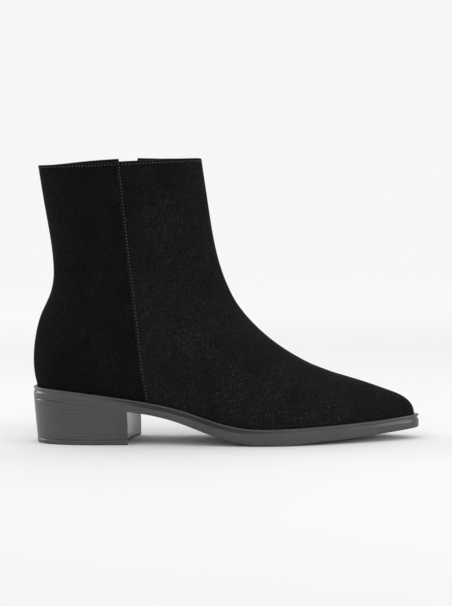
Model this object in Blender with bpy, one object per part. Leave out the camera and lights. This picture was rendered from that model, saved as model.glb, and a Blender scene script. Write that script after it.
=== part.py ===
"""A right ankle boot in suede: a hollow upper with a side zip, on a moulded sole with a block heel.

The boot is laid out in millimetres. x runs from the back of the sole's rim to the toe, y is positive
towards the inner (medial) side, where the zip is, and z is the height above the floor. Each piece is
moved over the origin and into metres as its mesh is made.
"""

import math

import bmesh
import bpy
import numpy as np
from mathutils import Matrix, Vector

MM = 0.001
GAP = 0.3  # left between pieces that are glued, sewn or stacked

# Sole
RIM_OUT = 2.9  # how far the rim stands out from the foot of the upper
HEEL_RIM = 0.6  # share of that at the back of the heel
HEEL_RIM_REACH = 45.0
BED_DEPTH = 1.5  # the upper sits this deep inside the rim
BREAST_X = 71.0  # front face of the heel
LIFT_HEIGHT = 3.4
HEEL_TAPER_BACK = 0.963  # length of the heel's foot over the length of its head
HEEL_TAPER_SIDE = 0.955
INSOLE_INSET = 3.7
INSOLE_THICKNESS = 2.0

# Upper
WALL = 2.2  # suede and lining together
LAP = 0.8  # the vamp lies this much proud of the rear quarter
COLLAR_FRONT = (123.2, 199.4)
COLLAR_BACK = (5.4, 195.2)
COLLAR_RISE = 3.0  # the collar is higher on the inner side
FAN_X = 245.0  # the sections of the upper fan out from a point ahead of the instep
SIDE_BULGE = 0.015  # the vamp swells out over its foot by this share of the half width
HEM_SHARE = 0.587  # of the half oval that a vamp section would make if it went on under the sole
TUCK_REACH = 34.0  # the upper tucks in to its foot over this height

# Zip
SLIT_HALF = 3.7
SLIT_FLARE = 3.8  # the slit opens by this much more on each side at the collar
FLARE_LENGTH = 45.0
TAPE_WIDTH = 4.5  # sewn part of the tape, behind the suede
TAPE_THICKNESS = 0.6
TAPE_GAP = 0.5  # behind the wall, which is faceted
TOOTH_PITCH = 3.2
CHAIN_HALF = 2.8
PIVOT_DISTANCE = 12.0  # from the collar down to the pull tab's pin
PIVOT_HEIGHT = 2.15  # pin above the suede
PIN_RADIUS = 0.5
PIN_HOLE_RADIUS = 0.85


def table(columns, rows):
    """Rows of numbers as named columns."""
    return dict(zip(columns.split(), np.array(rows, float).T))


# Foot of the upper in plan: half widths on the outer and the inner side
PLAN = table("x lateral medial", [
    (2.4, 0.0, 0.0),
    (4.4, 10.2, 10.2),
    (9.8, 16.9, 16.8),
    (20.0, 23.0, 22.8),
    (34.0, 26.9, 26.2),
    (54.0, 28.4, 26.6),
    (78.0, 29.0, 24.2),
    (102.0, 31.6, 22.4),
    (126.0, 36.2, 24.6),
    (150.0, 40.2, 30.2),
    (170.0, 41.2, 34.6),
    (186.0, 39.8, 35.6),
    (204.0, 35.6, 33.2),
    (222.0, 29.2, 27.6),
    (240.0, 21.2, 20.4),
    (254.0, 13.8, 13.4),
    (263.0, 8.0, 7.8),
    (267.3, 3.7, 3.6),
    (268.5, 0.0, 0.0),
])

# Heights of the sole along the boot
SOLE = table("x rim_top bottom", [
    (0.0, 41.4, 32.2),
    (18.0, 40.0, 30.9),
    (35.0, 38.0, 28.9),
    (52.0, 35.6, 26.5),
    (69.0, 32.8, 23.8),
    (86.0, 29.8, 21.0),
    (103.0, 26.1, 17.0),
    (120.0, 21.0, 11.2),
    (137.0, 15.7, 5.4),
    (154.0, 12.3, 1.6),
    (166.0, 11.6, 0.1),
    (178.0, 11.6, -0.3),
    (200.0, 12.3, 1.5),
    (222.0, 13.3, 2.9),
    (245.0, 14.6, 5.2),
    (271.3, 16.9, 8.6),
])

# Side of the sole from the bed to the tread: out from the foot of the upper, then a height from the
# rim or the tread
SOLE_SIDE_TOP = table("out height", [
    (0.7, -1.5),
    (0.8, 0.0),
    (2.4, 0.0),
    (2.9, -0.5),
    (2.8, -1.2),
    (2.0, -1.9),
    (2.0, -3.0),
    (2.9, -3.7),
])
SOLE_SIDE_FOOT = table("out height", [
    (2.7, 1.2),
    (1.5, 0.0),
])

# Side view of the upper: instep line from above the collar to the toe, and back line down to the heel seat
FRONT_LINE = table("x z", [
    (122.1, 209.0),
    (123.2, 199.4),
    (127.0, 168.0),
    (131.2, 138.0),
    (138.4, 111.6),
    (150.6, 89.6),
    (174.0, 66.5),
    (207.0, 48.4),
    (234.0, 39.7),
    (252.0, 33.8),
    (262.0, 28.3),
    (266.3, 22.4),
])
BACK_LINE = table("x z", [
    (4.2, 205.0),
    (5.4, 195.2),
    (9.8, 168.0),
    (13.6, 143.0),
    (14.9, 121.0),
    (12.2, 105.6),
    (5.4, 91.4),
    (1.1, 77.2),
    (-1.0, 62.0),
    (-0.6, 49.0),
])

# Half widths of the upper's sections, by the angle of the section about the fan's point. ridge moves the
# instep line to the inner side. blunt is a power: below 1, the back of the section is blunter than an oval.
GIRTH = table("degrees lateral medial ridge blunt", [
    (176.0, 28.5, 28.5, 0.0, 0.86),
    (183.0, 28.0, 28.0, 0.0, 0.86),
    (192.0, 27.0, 27.0, 0.5, 0.84),
    (202.0, 27.8, 27.6, 1.0, 0.80),
    (210.0, 30.0, 29.6, 1.5, 0.74),
    (218.0, 31.2, 30.4, 2.0, 0.70),
    (226.0, 32.4, 30.2, 2.5, 0.70),
    (234.0, 34.4, 29.0, 3.5, 0.70),
    (242.0, 34.0, 27.0, 4.0, 0.70),
    (252.0, 24.0, 20.0, 3.5, 0.70),
    (264.0, 0.0, 0.0, 2.0, 0.70),
    (282.0, -30.0, -30.0, 0.0, 0.70),
])

# Side view of the zip from above the collar, of the outer side's seam, and of the vamp's edge under the zip
ZIP_LINE = table("x z", [
    (66.2, 214.0),
    (66.6, 200.0),
    (67.7, 183.0),
    (70.3, 164.0),
    (76.0, 128.0),
    (84.2, 90.5),
    (90.8, 72.5),
    (98.0, 56.0),
    (106.7, 37.5),
    (111.3, 28.0),
])
ZIP_FOOT = 171.0  # length of the slit from the collar
LATERAL_SEAM = table("x z", [
    (66.8, 214.0),
    (68.0, 194.0),
    (70.1, 163.0),
    (75.2, 111.0),
    (78.8, 74.0),
    (83.3, 34.2),
    (86.0, 15.0),
])
VAMP_EDGE = table("x z", [
    (113.5, 37.0),
    (120.3, 30.0),
    (132.4, 16.0),
    (138.4, 8.0),
])


def spline(at, knots, values):
    """Natural cubic through the knots, read at any number of places."""
    at = np.asarray(at, float)
    step = np.diff(knots)
    slope = np.diff(values) / step
    size = len(knots)
    matrix = np.eye(size)
    right = np.zeros(size)
    for i in range(1, size - 1):
        matrix[i, i - 1:i + 2] = step[i - 1], 2 * (step[i - 1] + step[i]), step[i]
        right[i] = 6 * (slope[i] - slope[i - 1])
    bend = np.linalg.solve(matrix, right)
    i = np.clip(np.searchsorted(knots, at) - 1, 0, size - 2)
    b = (at - knots[i]) / step[i]
    a = 1 - b
    round_off = (a**3 - a) * bend[i] + (b**3 - b) * bend[i + 1]
    return a * values[i] + b * values[i + 1] + round_off * step[i] ** 2 / 6


def lengths(points):
    """Running length along a polyline."""
    return np.concatenate(([0.0], np.cumsum(np.linalg.norm(np.diff(points, axis=0), axis=1))))


def curve(points, count):
    """Smooth line through points, as count points evenly spaced in the points' own chord length."""
    points = np.asarray(points, float)
    run = lengths(points)
    at = np.linspace(0.0, run[-1], count)
    return np.column_stack([spline(at, run, points[:, k]) for k in range(points.shape[1])])


def pairs(rows):
    return np.column_stack((rows["x"], rows["z"]))


def moved(line, out):
    """Side view line moved to the left of its own direction."""
    step = np.gradient(line, axis=0)
    step /= np.linalg.norm(step, axis=1)[:, None]
    return line + out * np.column_stack((-step[:, 1], step[:, 0]))


def ease(t):
    """Smooth step from 0 to 1."""
    t = np.clip(t, 0.0, 1.0)
    return t * t * (3 - 2 * t)


def rim_top(x):
    return spline(np.clip(x, SOLE["x"][0], SOLE["x"][-1]), SOLE["x"], SOLE["rim_top"])


def sole_bottom(x):
    return np.maximum(spline(np.clip(x, SOLE["x"][0], SOLE["x"][-1]), SOLE["x"], SOLE["bottom"]), 0.0)


def bed(x):
    return rim_top(x) - BED_DEPTH


def outline(out):
    """Foot of the upper in plan moved out by a distance: outer half and inner half, both from heel to toe."""
    outer = np.column_stack((PLAN["x"], -PLAN["lateral"]))
    inner = np.column_stack((PLAN["x"], PLAN["medial"]))[-2:0:-1]
    loop = np.vstack((outer, inner))
    around = np.vstack((loop[-3:], loop, loop[:4]))
    run = lengths(around)
    at = np.linspace(run[3], run[-4], 1201)
    line = np.column_stack((spline(at, run, around[:, 0]), spline(at, run, around[:, 1])))
    along = np.gradient(line, axis=0)
    along[0] = along[-1] = 0.0, -1.0
    along /= np.linalg.norm(along, axis=1)[:, None]
    if out > 0:
        out = out * (HEEL_RIM + (1 - HEEL_RIM) * ease(line[:, 0] / HEEL_RIM_REACH))[:, None]
    line = line + out * np.column_stack((along[:, 1], -along[:, 0]))
    toe = int(np.argmax(line[:, 0]))
    halves = line[:toe + 1], line[toe:][::-1]
    for half in halves:
        half[:, 0] = np.maximum.accumulate(half[:, 0])
        half[0, 1] = half[-1, 1] = 0.0
    return halves


def ring(out, height, count=37, last=None):
    """Closed ring of points around the outline, heel to toe and back. With last it stops there, as the
    heel does.
    """
    outer, inner = outline(out)
    turn = math.pi if last is None else math.pi / 2
    far = outer[-1, 0] if last is None else last
    x = outer[0, 0] + (far - outer[0, 0]) * (1 - np.cos(np.linspace(0.0, turn, count))) / (1 - math.cos(turn))
    back = slice(-2, 0, -1) if last is None else slice(None, 0, -1)
    side = np.interp(x, outer[:, 0], outer[:, 1]), np.interp(x, inner[:, 0], inner[:, 1])
    xs = np.concatenate((x, x[back]))
    ys = np.concatenate((side[0], side[1][back]))
    return np.column_stack((xs, ys, height(xs)))


def fan_point():
    """The collar's section is flat, so the fan's point lies on the line of the collar."""
    slope = (COLLAR_FRONT[1] - COLLAR_BACK[1]) / (COLLAR_FRONT[0] - COLLAR_BACK[0])
    return np.array((FAN_X, COLLAR_FRONT[1] + slope * (FAN_X - COLLAR_FRONT[0])))


FAN = fan_point()


def polar(x, z):
    """Angle and distance of side view points about the fan's point."""
    angle = np.arctan2(z - FAN[1], x - FAN[0]) % (2 * math.pi)
    return angle, np.hypot(x - FAN[0], z - FAN[1])


class Skin:
    """A face of the upper: its outer face moved in by a distance, ending on a hem at a height over the
    sole's bed.

    The sections fan out from one point. Each starts on the instep line and ends on the back line or,
    past the heel seat, on the hem. side is -1 for the outer and 1 for the inner half of the boot.
    """

    def __init__(self, inset=0.0, hem=GAP):
        self.inset = inset
        self.feet = outline(-inset)
        heel_x, toe_x = self.feet[0][0, 0], self.feet[0][-1, 0]
        ends = [np.array((x, bed(x) + hem)) for x in (PLAN["x"][0], heel_x, PLAN["x"][-1], toe_x)]
        self.x = heel_x + (toe_x - heel_x) * (1 - np.cos(np.linspace(0.0, math.pi, 900))) / 2
        self.hem = bed(self.x) + hem
        back = moved(curve(np.vstack((pairs(BACK_LINE), ends[0])), 600), inset)
        front = moved(curve(np.vstack((pairs(FRONT_LINE), ends[2])), 900), -inset)
        back[-1], front[-1] = ends[1], ends[3]
        self.starts = polar(*front.T)
        self.ends = polar(*np.vstack((back, np.column_stack((self.x, self.hem))[1:])).T)
        for angles, _ in (self.starts, self.ends):
            angles[:] = np.maximum.accumulate(angles)
        self.heel_angle = float(polar(*ends[1])[0])

    def oval(self, turn, angle):
        """Half width of a section over its widest: the sine of the turn, blunter behind the widest place."""
        power = np.interp(np.degrees(angle), GIRTH["degrees"], GIRTH["blunt"])
        sine = np.maximum(np.sin(turn), 0.0)
        return np.where(turn > math.pi / 2, sine**power, sine)

    def section(self, angle, side):
        """Start and end distance, half width, share of the half oval used, change of width at the hem,
        ridge offset.

        The half width is a soft maximum of the table's width and the foot's width with its bulge, so
        that the shaft follows the table and the vamp follows the sole. A section is a whole half oval
        down to the back line. Past the heel seat the oval would reach the back line's continuation, and
        the hem cuts it short; further on the cut stays just past the oval's widest place.
        """
        start = np.interp(angle, *self.starts)
        end = np.interp(angle, *self.ends)
        foot_line = self.feet[0] if side < 0 else self.feet[1]
        x = FAN[0] + end * np.cos(angle)
        foot = np.abs(np.interp(x, foot_line[:, 0], foot_line[:, 1]))
        foot = np.where(angle > self.heel_angle, foot, 0.0)
        degrees = np.degrees(angle)
        wide = spline(degrees, GIRTH["degrees"], GIRTH["lateral" if side < 0 else "medial"]) - self.inset
        wide = np.maximum(wide, 0.0)
        wide = (wide**12 + (foot * (1 + SIDE_BULGE)) ** 12 + 1e-60) ** (1 / 12)
        whole = (FAN[0] - foot_line[0, 0]) / np.maximum(-np.cos(angle), 0.05)
        used = np.where(angle > self.heel_angle, (end - start) / (whole - start), 1.0)
        used = np.minimum((used**12 + HEM_SHARE**12) ** (1 / 12), 1.0)
        tuck = foot - wide * self.oval(np.arccos(1 - 2 * used), angle)
        ridge = spline(degrees, GIRTH["degrees"], GIRTH["ridge"]) * np.minimum(wide / 8.0, 1.0)
        return start, end, wide, used, tuck, ridge

    def across(self, part, angle, side):
        """y of the sections at these angles, at a share of their length from the instep line to their end.

        Half oval: the share of its length is half of one minus the cosine of a turn, and y is the half
        width times the oval's share there. Near the hem y goes over to the half width of the foot.
        """
        start, end, wide, used, tuck, ridge = self.section(angle, side)
        turn = np.arccos(np.clip(1 - 2 * part * used, -1.0, 1.0))
        reach = np.minimum(TUCK_REACH, 0.8 * (end - start)) + 1e-9
        near = ease(1 - (1 - part) * (end - start) / reach)
        return side * (wide * self.oval(turn, angle) + tuck * near) + ridge * (1 - part)

    def point(self, angle, turn, side):
        """Point of the face. turn runs from 0 on the instep line to 1 at the back line or the hem."""
        start, end, _, used, _, _ = self.section(angle, side)
        part = (1 - np.cos(turn * np.arccos(1 - 2 * used))) / (2 * used)
        far = start + (end - start) * part
        x = FAN[0] + far * np.cos(angle)
        z = FAN[1] + far * np.sin(angle)
        return np.stack((x, self.across(part, angle, side), z), axis=-1)

    def side_y(self, x, z, side):
        """y of the face at a place in the side view, the inverse of point."""
        angle, far = polar(x, z)
        start = np.interp(angle, *self.starts)
        end = np.interp(angle, *self.ends)
        return self.across(np.clip((far - start) / (end - start), 0.0, 1.0), angle, side)


OUTSIDE = Skin()
INSIDE = Skin(WALL)
COLLAR_ANGLE = float(polar(*COLLAR_FRONT)[0])


def side_normal(x, z, side):
    """Outward direction of the upper's face at a place in the side view."""
    d = 0.5
    by_x = (OUTSIDE.side_y(x + d, z, side) - OUTSIDE.side_y(x - d, z, side)) / (2 * d)
    by_z = (OUTSIDE.side_y(x, z + d, side) - OUTSIDE.side_y(x, z - d, side)) / (2 * d)
    normal = side * np.stack((-by_x, np.ones_like(by_x), -by_z), axis=-1)
    return normal / np.linalg.norm(normal, axis=-1)[..., None]


def under(skin, x, z, depth):
    """Point under the inner side of a face, depth measured square to it."""
    x, z = np.asarray(x, float), np.asarray(z, float)
    face = np.stack((x, skin.side_y(x, z, 1), z), axis=-1)
    return face - np.asarray(depth, float)[..., None] * side_normal(x, z, 1)


ZIP = curve(pairs(ZIP_LINE), 900)
ZIP_RUN = lengths(ZIP) - np.interp(-200.0, -ZIP[:, 1], lengths(ZIP))


def zip_at(distance):
    """Side view point of the zip's middle at a distance below the collar, and the unit step across, to the
    front.
    """
    x, z = (np.interp(distance, ZIP_RUN, ZIP[:, k]) for k in range(2))
    ahead = [np.interp(np.asarray(distance) + 0.5, ZIP_RUN, ZIP[:, k]) for k in range(2)]
    step = np.stack((ahead[0] - x, ahead[1] - z), axis=-1)
    step /= np.linalg.norm(step, axis=-1)[..., None]
    return np.stack((x, z), axis=-1), np.stack((-step[..., 1], step[..., 0]), axis=-1)


def slit_half(distance):
    return SLIT_HALF + SLIT_FLARE * (1 - ease(np.asarray(distance) / FLARE_LENGTH))


def box_middle():
    """Middle of the boot's plan, which the origin lies under."""
    outer, inner = outline(RIM_OUT)
    back = min(outer[0, 0], curve(pairs(BACK_LINE), 600)[:, 0].min())
    return (back + outer[-1, 0]) / 2, (outer[:, 1].min() + inner[:, 1].max()) / 2


MIDDLE = np.array((*box_middle(), 0.0))


def place(points):
    return (np.asarray(points, float) - MIDDLE) * MM


BOOT = bpy.data.collections.new("suede_boot")
CUTTERS = bpy.data.collections.new("cutters")


def add_object(name, bm, material=None):
    """Object from a bmesh: a named piece with its material, or a hidden cutter without one."""
    mesh = bpy.data.meshes.new(name)
    bm.to_mesh(mesh)
    bm.free()
    obj = bpy.data.objects.new(name, mesh)
    if material:
        mesh.materials.append(material)
        BOOT.objects.link(obj)
    else:
        obj.hide_render = True
        obj.display_type = "WIRE"
        CUTTERS.objects.link(obj)
    return obj


def lofted(rings, strips):
    """Closed solid through rings of points. Flat pieces are capped by strips across, tubes by one face."""
    bm = bmesh.new()
    count = len(rings[0])
    rows = [[bm.verts.new(p) for p in points] for points in rings]
    for low, high in zip(rows[:-1], rows[1:]):
        for i in range(count):
            j = (i + 1) % count
            bm.faces.new((low[i], low[j], high[j], high[i]))
    for row in (rows[0], rows[-1]):
        if not strips:
            bm.faces.new(row)
            continue
        for i in range((count - 1) // 2):
            corners = [row[i], row[i + 1], row[count - i - 1], row[(count - i) % count]]
            bm.faces.new(list(dict.fromkeys(corners)))
        if count % 2 == 0:
            middle = count // 2
            bm.faces.new((row[middle - 1], row[middle], row[middle + 1]))
    bmesh.ops.remove_doubles(bm, verts=bm.verts, dist=1e-7)
    bmesh.ops.recalc_face_normals(bm, faces=bm.faces)
    return bm


def prism(corners, low, high, axes=(0, 2, 1)):
    """Flat outline pushed along a third axis from low to high. axes names the outline's two axes and the
    third.
    """
    bm = bmesh.new()
    verts = []
    for corner in corners:
        spot = [0.0, 0.0, 0.0]
        spot[axes[0]], spot[axes[1]], spot[axes[2]] = corner[0], corner[1], low
        verts.append(bm.verts.new(spot))
    face = bm.faces.new(verts)
    grown = bmesh.ops.extrude_face_region(bm, geom=[face])
    move = [0.0, 0.0, 0.0]
    move[axes[2]] = high - low
    bmesh.ops.translate(bm, vec=move, verts=[v for v in grown["geom"] if isinstance(v, bmesh.types.BMVert)])
    bmesh.ops.recalc_face_normals(bm, faces=bm.faces)
    return bm


def side_prism(name, corners, low, high):
    """Cutter with an outline in the side view, between two places across the boot."""
    spots = place([(x, 0.0, z) for x, z in corners])
    return add_object(name, prism(spots[:, (0, 2)], (low - MIDDLE[1]) * MM, (high - MIDDLE[1]) * MM))


def boolean(obj, operation, other):
    mod = obj.modifiers.new(f"{operation.lower()}_{other.name}", "BOOLEAN")
    mod.operation = operation
    mod.solver = "EXACT"
    mod.object = other


def material(name, color, roughness, metallic=0.0):
    mat = bpy.data.materials.new(name)
    mat.use_nodes = True
    shader = mat.node_tree.nodes["Principled BSDF"]
    shader.inputs["Base Color"].default_value = (*color, 1.0)
    shader.inputs["Roughness"].default_value = roughness
    shader.inputs["Metallic"].default_value = metallic
    return mat


def skin_rows(skin, lift):
    """Rows of points over a face: closed rows down to the heel seat, then rows that end on the hem. They
    are spread evenly along the instep line, closer at the toe, and lean over to their own places on the
    hem. The inner side's collar is higher, and lift raises the whole collar.
    """
    top = COLLAR_ANGLE - lift / 120.0
    shaft = np.linspace(top, skin.heel_angle, 15)[:-1]
    at = np.linspace(0, len(skin.x) - 1, 33).astype(int)
    at_end = np.concatenate((shaft, polar(skin.x[at], skin.hem[at])[0]))
    share = np.sin(np.linspace(0.0, 1.1, len(at_end))) / math.sin(1.1)
    angles, distances = skin.starts
    run = lengths(np.column_stack((distances * np.cos(angles), distances * np.sin(angles))))
    first = np.interp(top, skin.starts[0], run)
    at_start = np.interp(first + (run[-1] - first) * share, run, skin.starts[0])
    at_start[-1] = at_end[-1]
    parts = np.linspace(1.0, 0.0, 17)
    rows = []
    for start, end in zip(at_start, at_end):
        angle = end + (start - end) * (1 - parts) ** 1.5
        high = np.clip((skin.heel_angle - angle) / (skin.heel_angle - COLLAR_ANGLE), 0.0, 2.0) ** 3
        tilted = angle - high * COLLAR_RISE / 175.0 * np.sin(math.pi * parts) ** 2
        outer = skin.point(angle, parts, -1)
        inner = skin.point(tilted, parts, 1)[::-1]
        rows.append(place(np.vstack((outer, inner[1:]))))
    return rows, len(shaft)


def shell(outside, inside, lift=0.0):
    """Closed shell between two faces of the upper, with rims at the collar and along the hem."""
    bm = bmesh.new()
    rows, heel = skin_rows(outside, lift)
    out = [[bm.verts.new(p) for p in row] for row in rows]
    back = [[bm.verts.new(p) for p in row] for row in skin_rows(inside, lift)[0]]
    count = len(out[0])
    for k in range(len(out) - 1):
        for c in range(count - 1):
            bm.faces.new((out[k][c], out[k + 1][c], out[k + 1][c + 1], out[k][c + 1]))
            bm.faces.new((back[k][c + 1], back[k + 1][c + 1], back[k + 1][c], back[k][c]))
        if k >= heel:
            bm.faces.new((out[k + 1][0], out[k][0], back[k][0], back[k + 1][0]))
            bm.faces.new((out[k][-1], out[k + 1][-1], back[k + 1][-1], back[k][-1]))
    for c in range(count - 1):
        bm.faces.new((out[0][c], out[0][c + 1], back[0][c + 1], back[0][c]))
    bmesh.ops.remove_doubles(bm, verts=bm.verts, dist=1e-6)
    bmesh.ops.recalc_face_normals(bm, faces=bm.faces)
    bmesh.ops.triangulate(bm, faces=bm.faces, quad_method="SHORT_EDGE")
    return bm


def build_upper(suede):
    """Shell with its wall, standing on the sole's bed, stepped down behind the vamp and slit for the zip."""
    upper = add_object("upper", shell(OUTSIDE, INSIDE), suede)

    seam = curve(pairs(LATERAL_SEAM), 24)
    seam = np.vstack((seam, ((-30.0, 15.0), (-30.0, 214.0))))
    behind = side_prism("behind_seam", seam, -80.0, 1.0)
    middle, _ = zip_at(np.linspace(-10.0, 160.0, 24))
    edge = np.vstack((middle, curve(pairs(VAMP_EDGE), 8), ((-31.0, 8.0), (-31.0, 213.0))))
    boolean(behind, "UNION", side_prism("behind_zip", edge, -1.0, 80.0))
    step = add_object("rear_step", shell(Skin(-3.0, -0.5), Skin(LAP, -0.5), lift=5.0))
    boolean(step, "INTERSECT", behind)
    boolean(upper, "DIFFERENCE", step)

    run = np.linspace(-13.0, ZIP_FOOT - SLIT_HALF, 40)
    middle, across = zip_at(run)
    half = slit_half(run)[:, None]
    foot, to_front = middle[-1], across[-1]
    along = np.array((to_front[1], -to_front[0]))
    turns = np.linspace(0.0, math.pi, 9)[1:-1]
    end = [foot + SLIT_HALF * (math.cos(t) * to_front + math.sin(t) * along) for t in turns]
    slit = np.vstack((middle + half * across, end, (middle - half * across)[::-1]))
    boolean(upper, "DIFFERENCE", side_prism("zip_slit", slit, 10.0, 60.0))
    return upper


def tread_edge(x):
    """Share of the tread's rounded edge that is left: most of it goes over the heel."""
    return 0.25 + 0.75 * ease((x - BREAST_X) / 12.0)


def build_sole(rubber, foam):
    """Outsole, heel block, top lift and insole, all from the same outline."""
    rings = [ring(out, lambda x, h=high: rim_top(x) + h) for out, high in zip(*SOLE_SIDE_TOP.values())]
    for out, high in zip(*SOLE_SIDE_FOOT.values()):
        rings.append(ring(out, lambda x, h=high: sole_bottom(x) + h * tread_edge(x)))
    add_object("outsole", lofted([place(r) for r in rings], True), rubber)

    head = ring(2.3, lambda x: sole_bottom(x) - GAP, 19, BREAST_X)
    foot = head.copy()
    foot[:, 0] = BREAST_X - (BREAST_X - head[:, 0]) * HEEL_TAPER_BACK
    foot[:, 1] = head[:, 1] * HEEL_TAPER_SIDE
    levels = [foot.copy() for _ in range(3)]
    for level, height in zip(levels, (LIFT_HEIGHT + GAP, LIFT_HEIGHT, 0.0)):
        level[:, 2] = height
    add_object("heel", lofted([place(head), place(levels[0])], True), rubber)
    add_object("top_lift", lofted([place(levels[1]), place(levels[2])], True), rubber)

    levels = (GAP, GAP + INSOLE_THICKNESS)
    rings = [ring(-INSOLE_INSET, lambda x, h=high: bed(x) + h, 31) for high in levels]
    add_object("insole", lofted([place(r) for r in rings], True), foam)


def build_tapes(cloth):
    """Two tapes under the slit's edges. Their inner edges meet under the teeth and part above the slider."""
    run = np.linspace(2.0, ZIP_FOOT + 5.0, 30)
    middle, to_front = zip_at(run)
    half = slit_half(run)
    near = 0.15 + 3.6 * (1 - ease((run - 2.0) / 8.0))
    for name, way in (("zip_tape_front", 1), ("zip_tape_rear", -1)):
        rings = []
        shares = (0.0, 0.35, 0.7, 1.0)
        for depth, order in ((TAPE_GAP, shares), (TAPE_GAP + TAPE_THICKNESS, shares[::-1])):
            for share in order:
                out = near + (half + TAPE_WIDTH - near) * share
                spot = middle + way * out[:, None] * to_front
                rings.append(under(INSIDE, spot[:, 0], spot[:, 1], np.full_like(run, depth)))
        add_object(name, lofted([place(points) for points in np.stack(rings, axis=1)], False), cloth)


def build_chain(nylon):
    """Closed teeth from the slider to the foot of the slit, as one ribbed strip."""
    run = np.arange(PIVOT_DISTANCE - 3.0, ZIP_FOOT - 1.5, TOOTH_PITCH / 2)
    middle, to_front = zip_at(run)
    tooth = (np.arange(len(run)) % 2).astype(float)
    half = CHAIN_HALF - 0.4 * tooth
    crown = 0.7 + 0.5 * tooth
    flat = np.full_like(run, TAPE_GAP - GAP)
    profile = (
        (-1.0, INSIDE, flat),
        (-1.0, OUTSIDE, crown + 0.5),
        (-0.55, OUTSIDE, crown),
        (0.55, OUTSIDE, crown),
        (1.0, OUTSIDE, crown + 0.5),
        (1.0, INSIDE, flat),
    )
    rings = []
    for share, skin, depth in profile:
        spot = middle + share * half[:, None] * to_front
        rings.append(under(skin, spot[:, 0], spot[:, 1], depth))
    add_object("zip_chain", lofted([place(points) for points in np.stack(rings, axis=1)], False), nylon)


def pull_frame():
    """Axes at the pull tab's pin: across the zip to the front, down the zip, and out from the boot."""
    spots, _ = zip_at(np.array((PIVOT_DISTANCE - 2.0, PIVOT_DISTANCE, PIVOT_DISTANCE + 2.0)))
    before, here, after = place(under(OUTSIDE, spots[:, 0], spots[:, 1], np.zeros(3)))
    out = Vector(side_normal(spots[1:2, 0], spots[1:2, 1], 1)[0])
    down = Vector(after - before)
    down = (down - down.dot(out) * out).normalized()
    across = down.cross(out)
    frame = Matrix((across, down, out)).transposed().to_4x4()
    frame.translation = Vector(here) + PIVOT_HEIGHT * MM * out
    return frame


def cylinder(name, radius, half_length, mat=None):
    """Round bar along the pin's axis."""
    bm = bmesh.new()
    turn = Matrix.Rotation(math.pi / 2, 4, "Y")
    bmesh.ops.create_cone(bm, cap_ends=True, segments=20, radius1=radius * MM, radius2=radius * MM,
                          depth=2 * half_length * MM, matrix=turn)
    return add_object(name, bm, mat)


def build_slider(metal):
    """Slider body, open below over the teeth, with a bridge for the pin, and the forked pull tab."""
    frame = pull_frame()
    rings = []
    for v, half, rail in ((-6.0, 5.9, 3.6), (-2.0, 5.7, 3.6), (6.0, 4.5, 3.2)):
        low, deck, top = -3.9, -2.5, -1.25
        near = ((half - 0.4, top), (half, top - 0.4), (half, low), (rail, low), (rail, deck))
        profile = [*near, *((-u, n) for u, n in reversed(near))]
        rings.append(np.array([(u, v, n) for u, n in profile]) * MM)
    slider = add_object("zip_slider", lofted(rings, False), metal)
    bridge_side = ((-2.6, -1.6), (-2.3, 0.5), (-1.2, 1.25), (1.2, 1.25), (2.3, 0.5), (2.6, -1.6))
    bridge = add_object("bridge", prism(np.array(bridge_side) * MM, -1.0 * MM, 1.0 * MM, (1, 2, 0)))
    hole = cylinder("pin_hole", PIN_HOLE_RADIUS, 3.0)
    boolean(slider, "UNION", bridge)
    boolean(slider, "DIFFERENCE", hole)

    half_fork = ((1.35, 3.8), (1.35, -0.7), (3.2, -0.7), (4.2, 0.6), (4.3, 3.4))
    half_tab = (*half_fork, (2.5, 18.4), (2.1, 19.8), (1.2, 20.6))
    tab_outline = [*half_tab, *((-u, v) for u, v in reversed(half_tab))]
    tab = add_object("zip_pull", prism(np.array(tab_outline) * MM, -0.55 * MM, 0.55 * MM, (0, 1, 2)), metal)
    pin = cylinder("pull_pin", PIN_RADIUS, 2.2)
    boolean(tab, "UNION", pin)
    for obj in (slider, bridge, hole, tab, pin):
        obj.matrix_world = frame


def main():
    for obj in list(bpy.data.objects):
        bpy.data.objects.remove(obj, do_unlink=True)
    bpy.context.scene.collection.children.link(BOOT)
    bpy.context.scene.collection.children.link(CUTTERS)
    suede = material("suede", (0.010, 0.010, 0.010), 0.9)
    rubber = material("sole_rubber", (0.075, 0.075, 0.077), 0.45)
    foam = material("insole_board", (0.10, 0.10, 0.10), 0.9)
    cloth = material("zip_tape", (0.012, 0.012, 0.012), 0.9)
    nylon = material("zip_nylon", (0.06, 0.06, 0.06), 0.5)
    metal = material("slider_metal", (0.12, 0.12, 0.13), 0.35, 1.0)
    build_sole(rubber, foam)
    build_upper(suede)
    build_tapes(cloth)
    build_chain(nylon)
    build_slider(metal)


if __name__ == "__main__":
    main()
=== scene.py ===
"""Looks of a right suede ankle boot: sewn panels, zip, moulded sole, and the studio that it stands in.

The boot is laid out in millimetres, as its solids are: x runs from the back of the sole's rim to the toe, y is
positive towards the inner side, where the zip is, and z is the height above the floor. place() moves points over
the origin and into metres. Each piece is a grid of points, or a stack of like grids, worked out as whole arrays.
"""

import math

import bmesh
import bpy
import numpy as np
from bpy.props import FloatProperty, FloatVectorProperty, PointerProperty
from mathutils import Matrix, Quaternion, Vector


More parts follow.
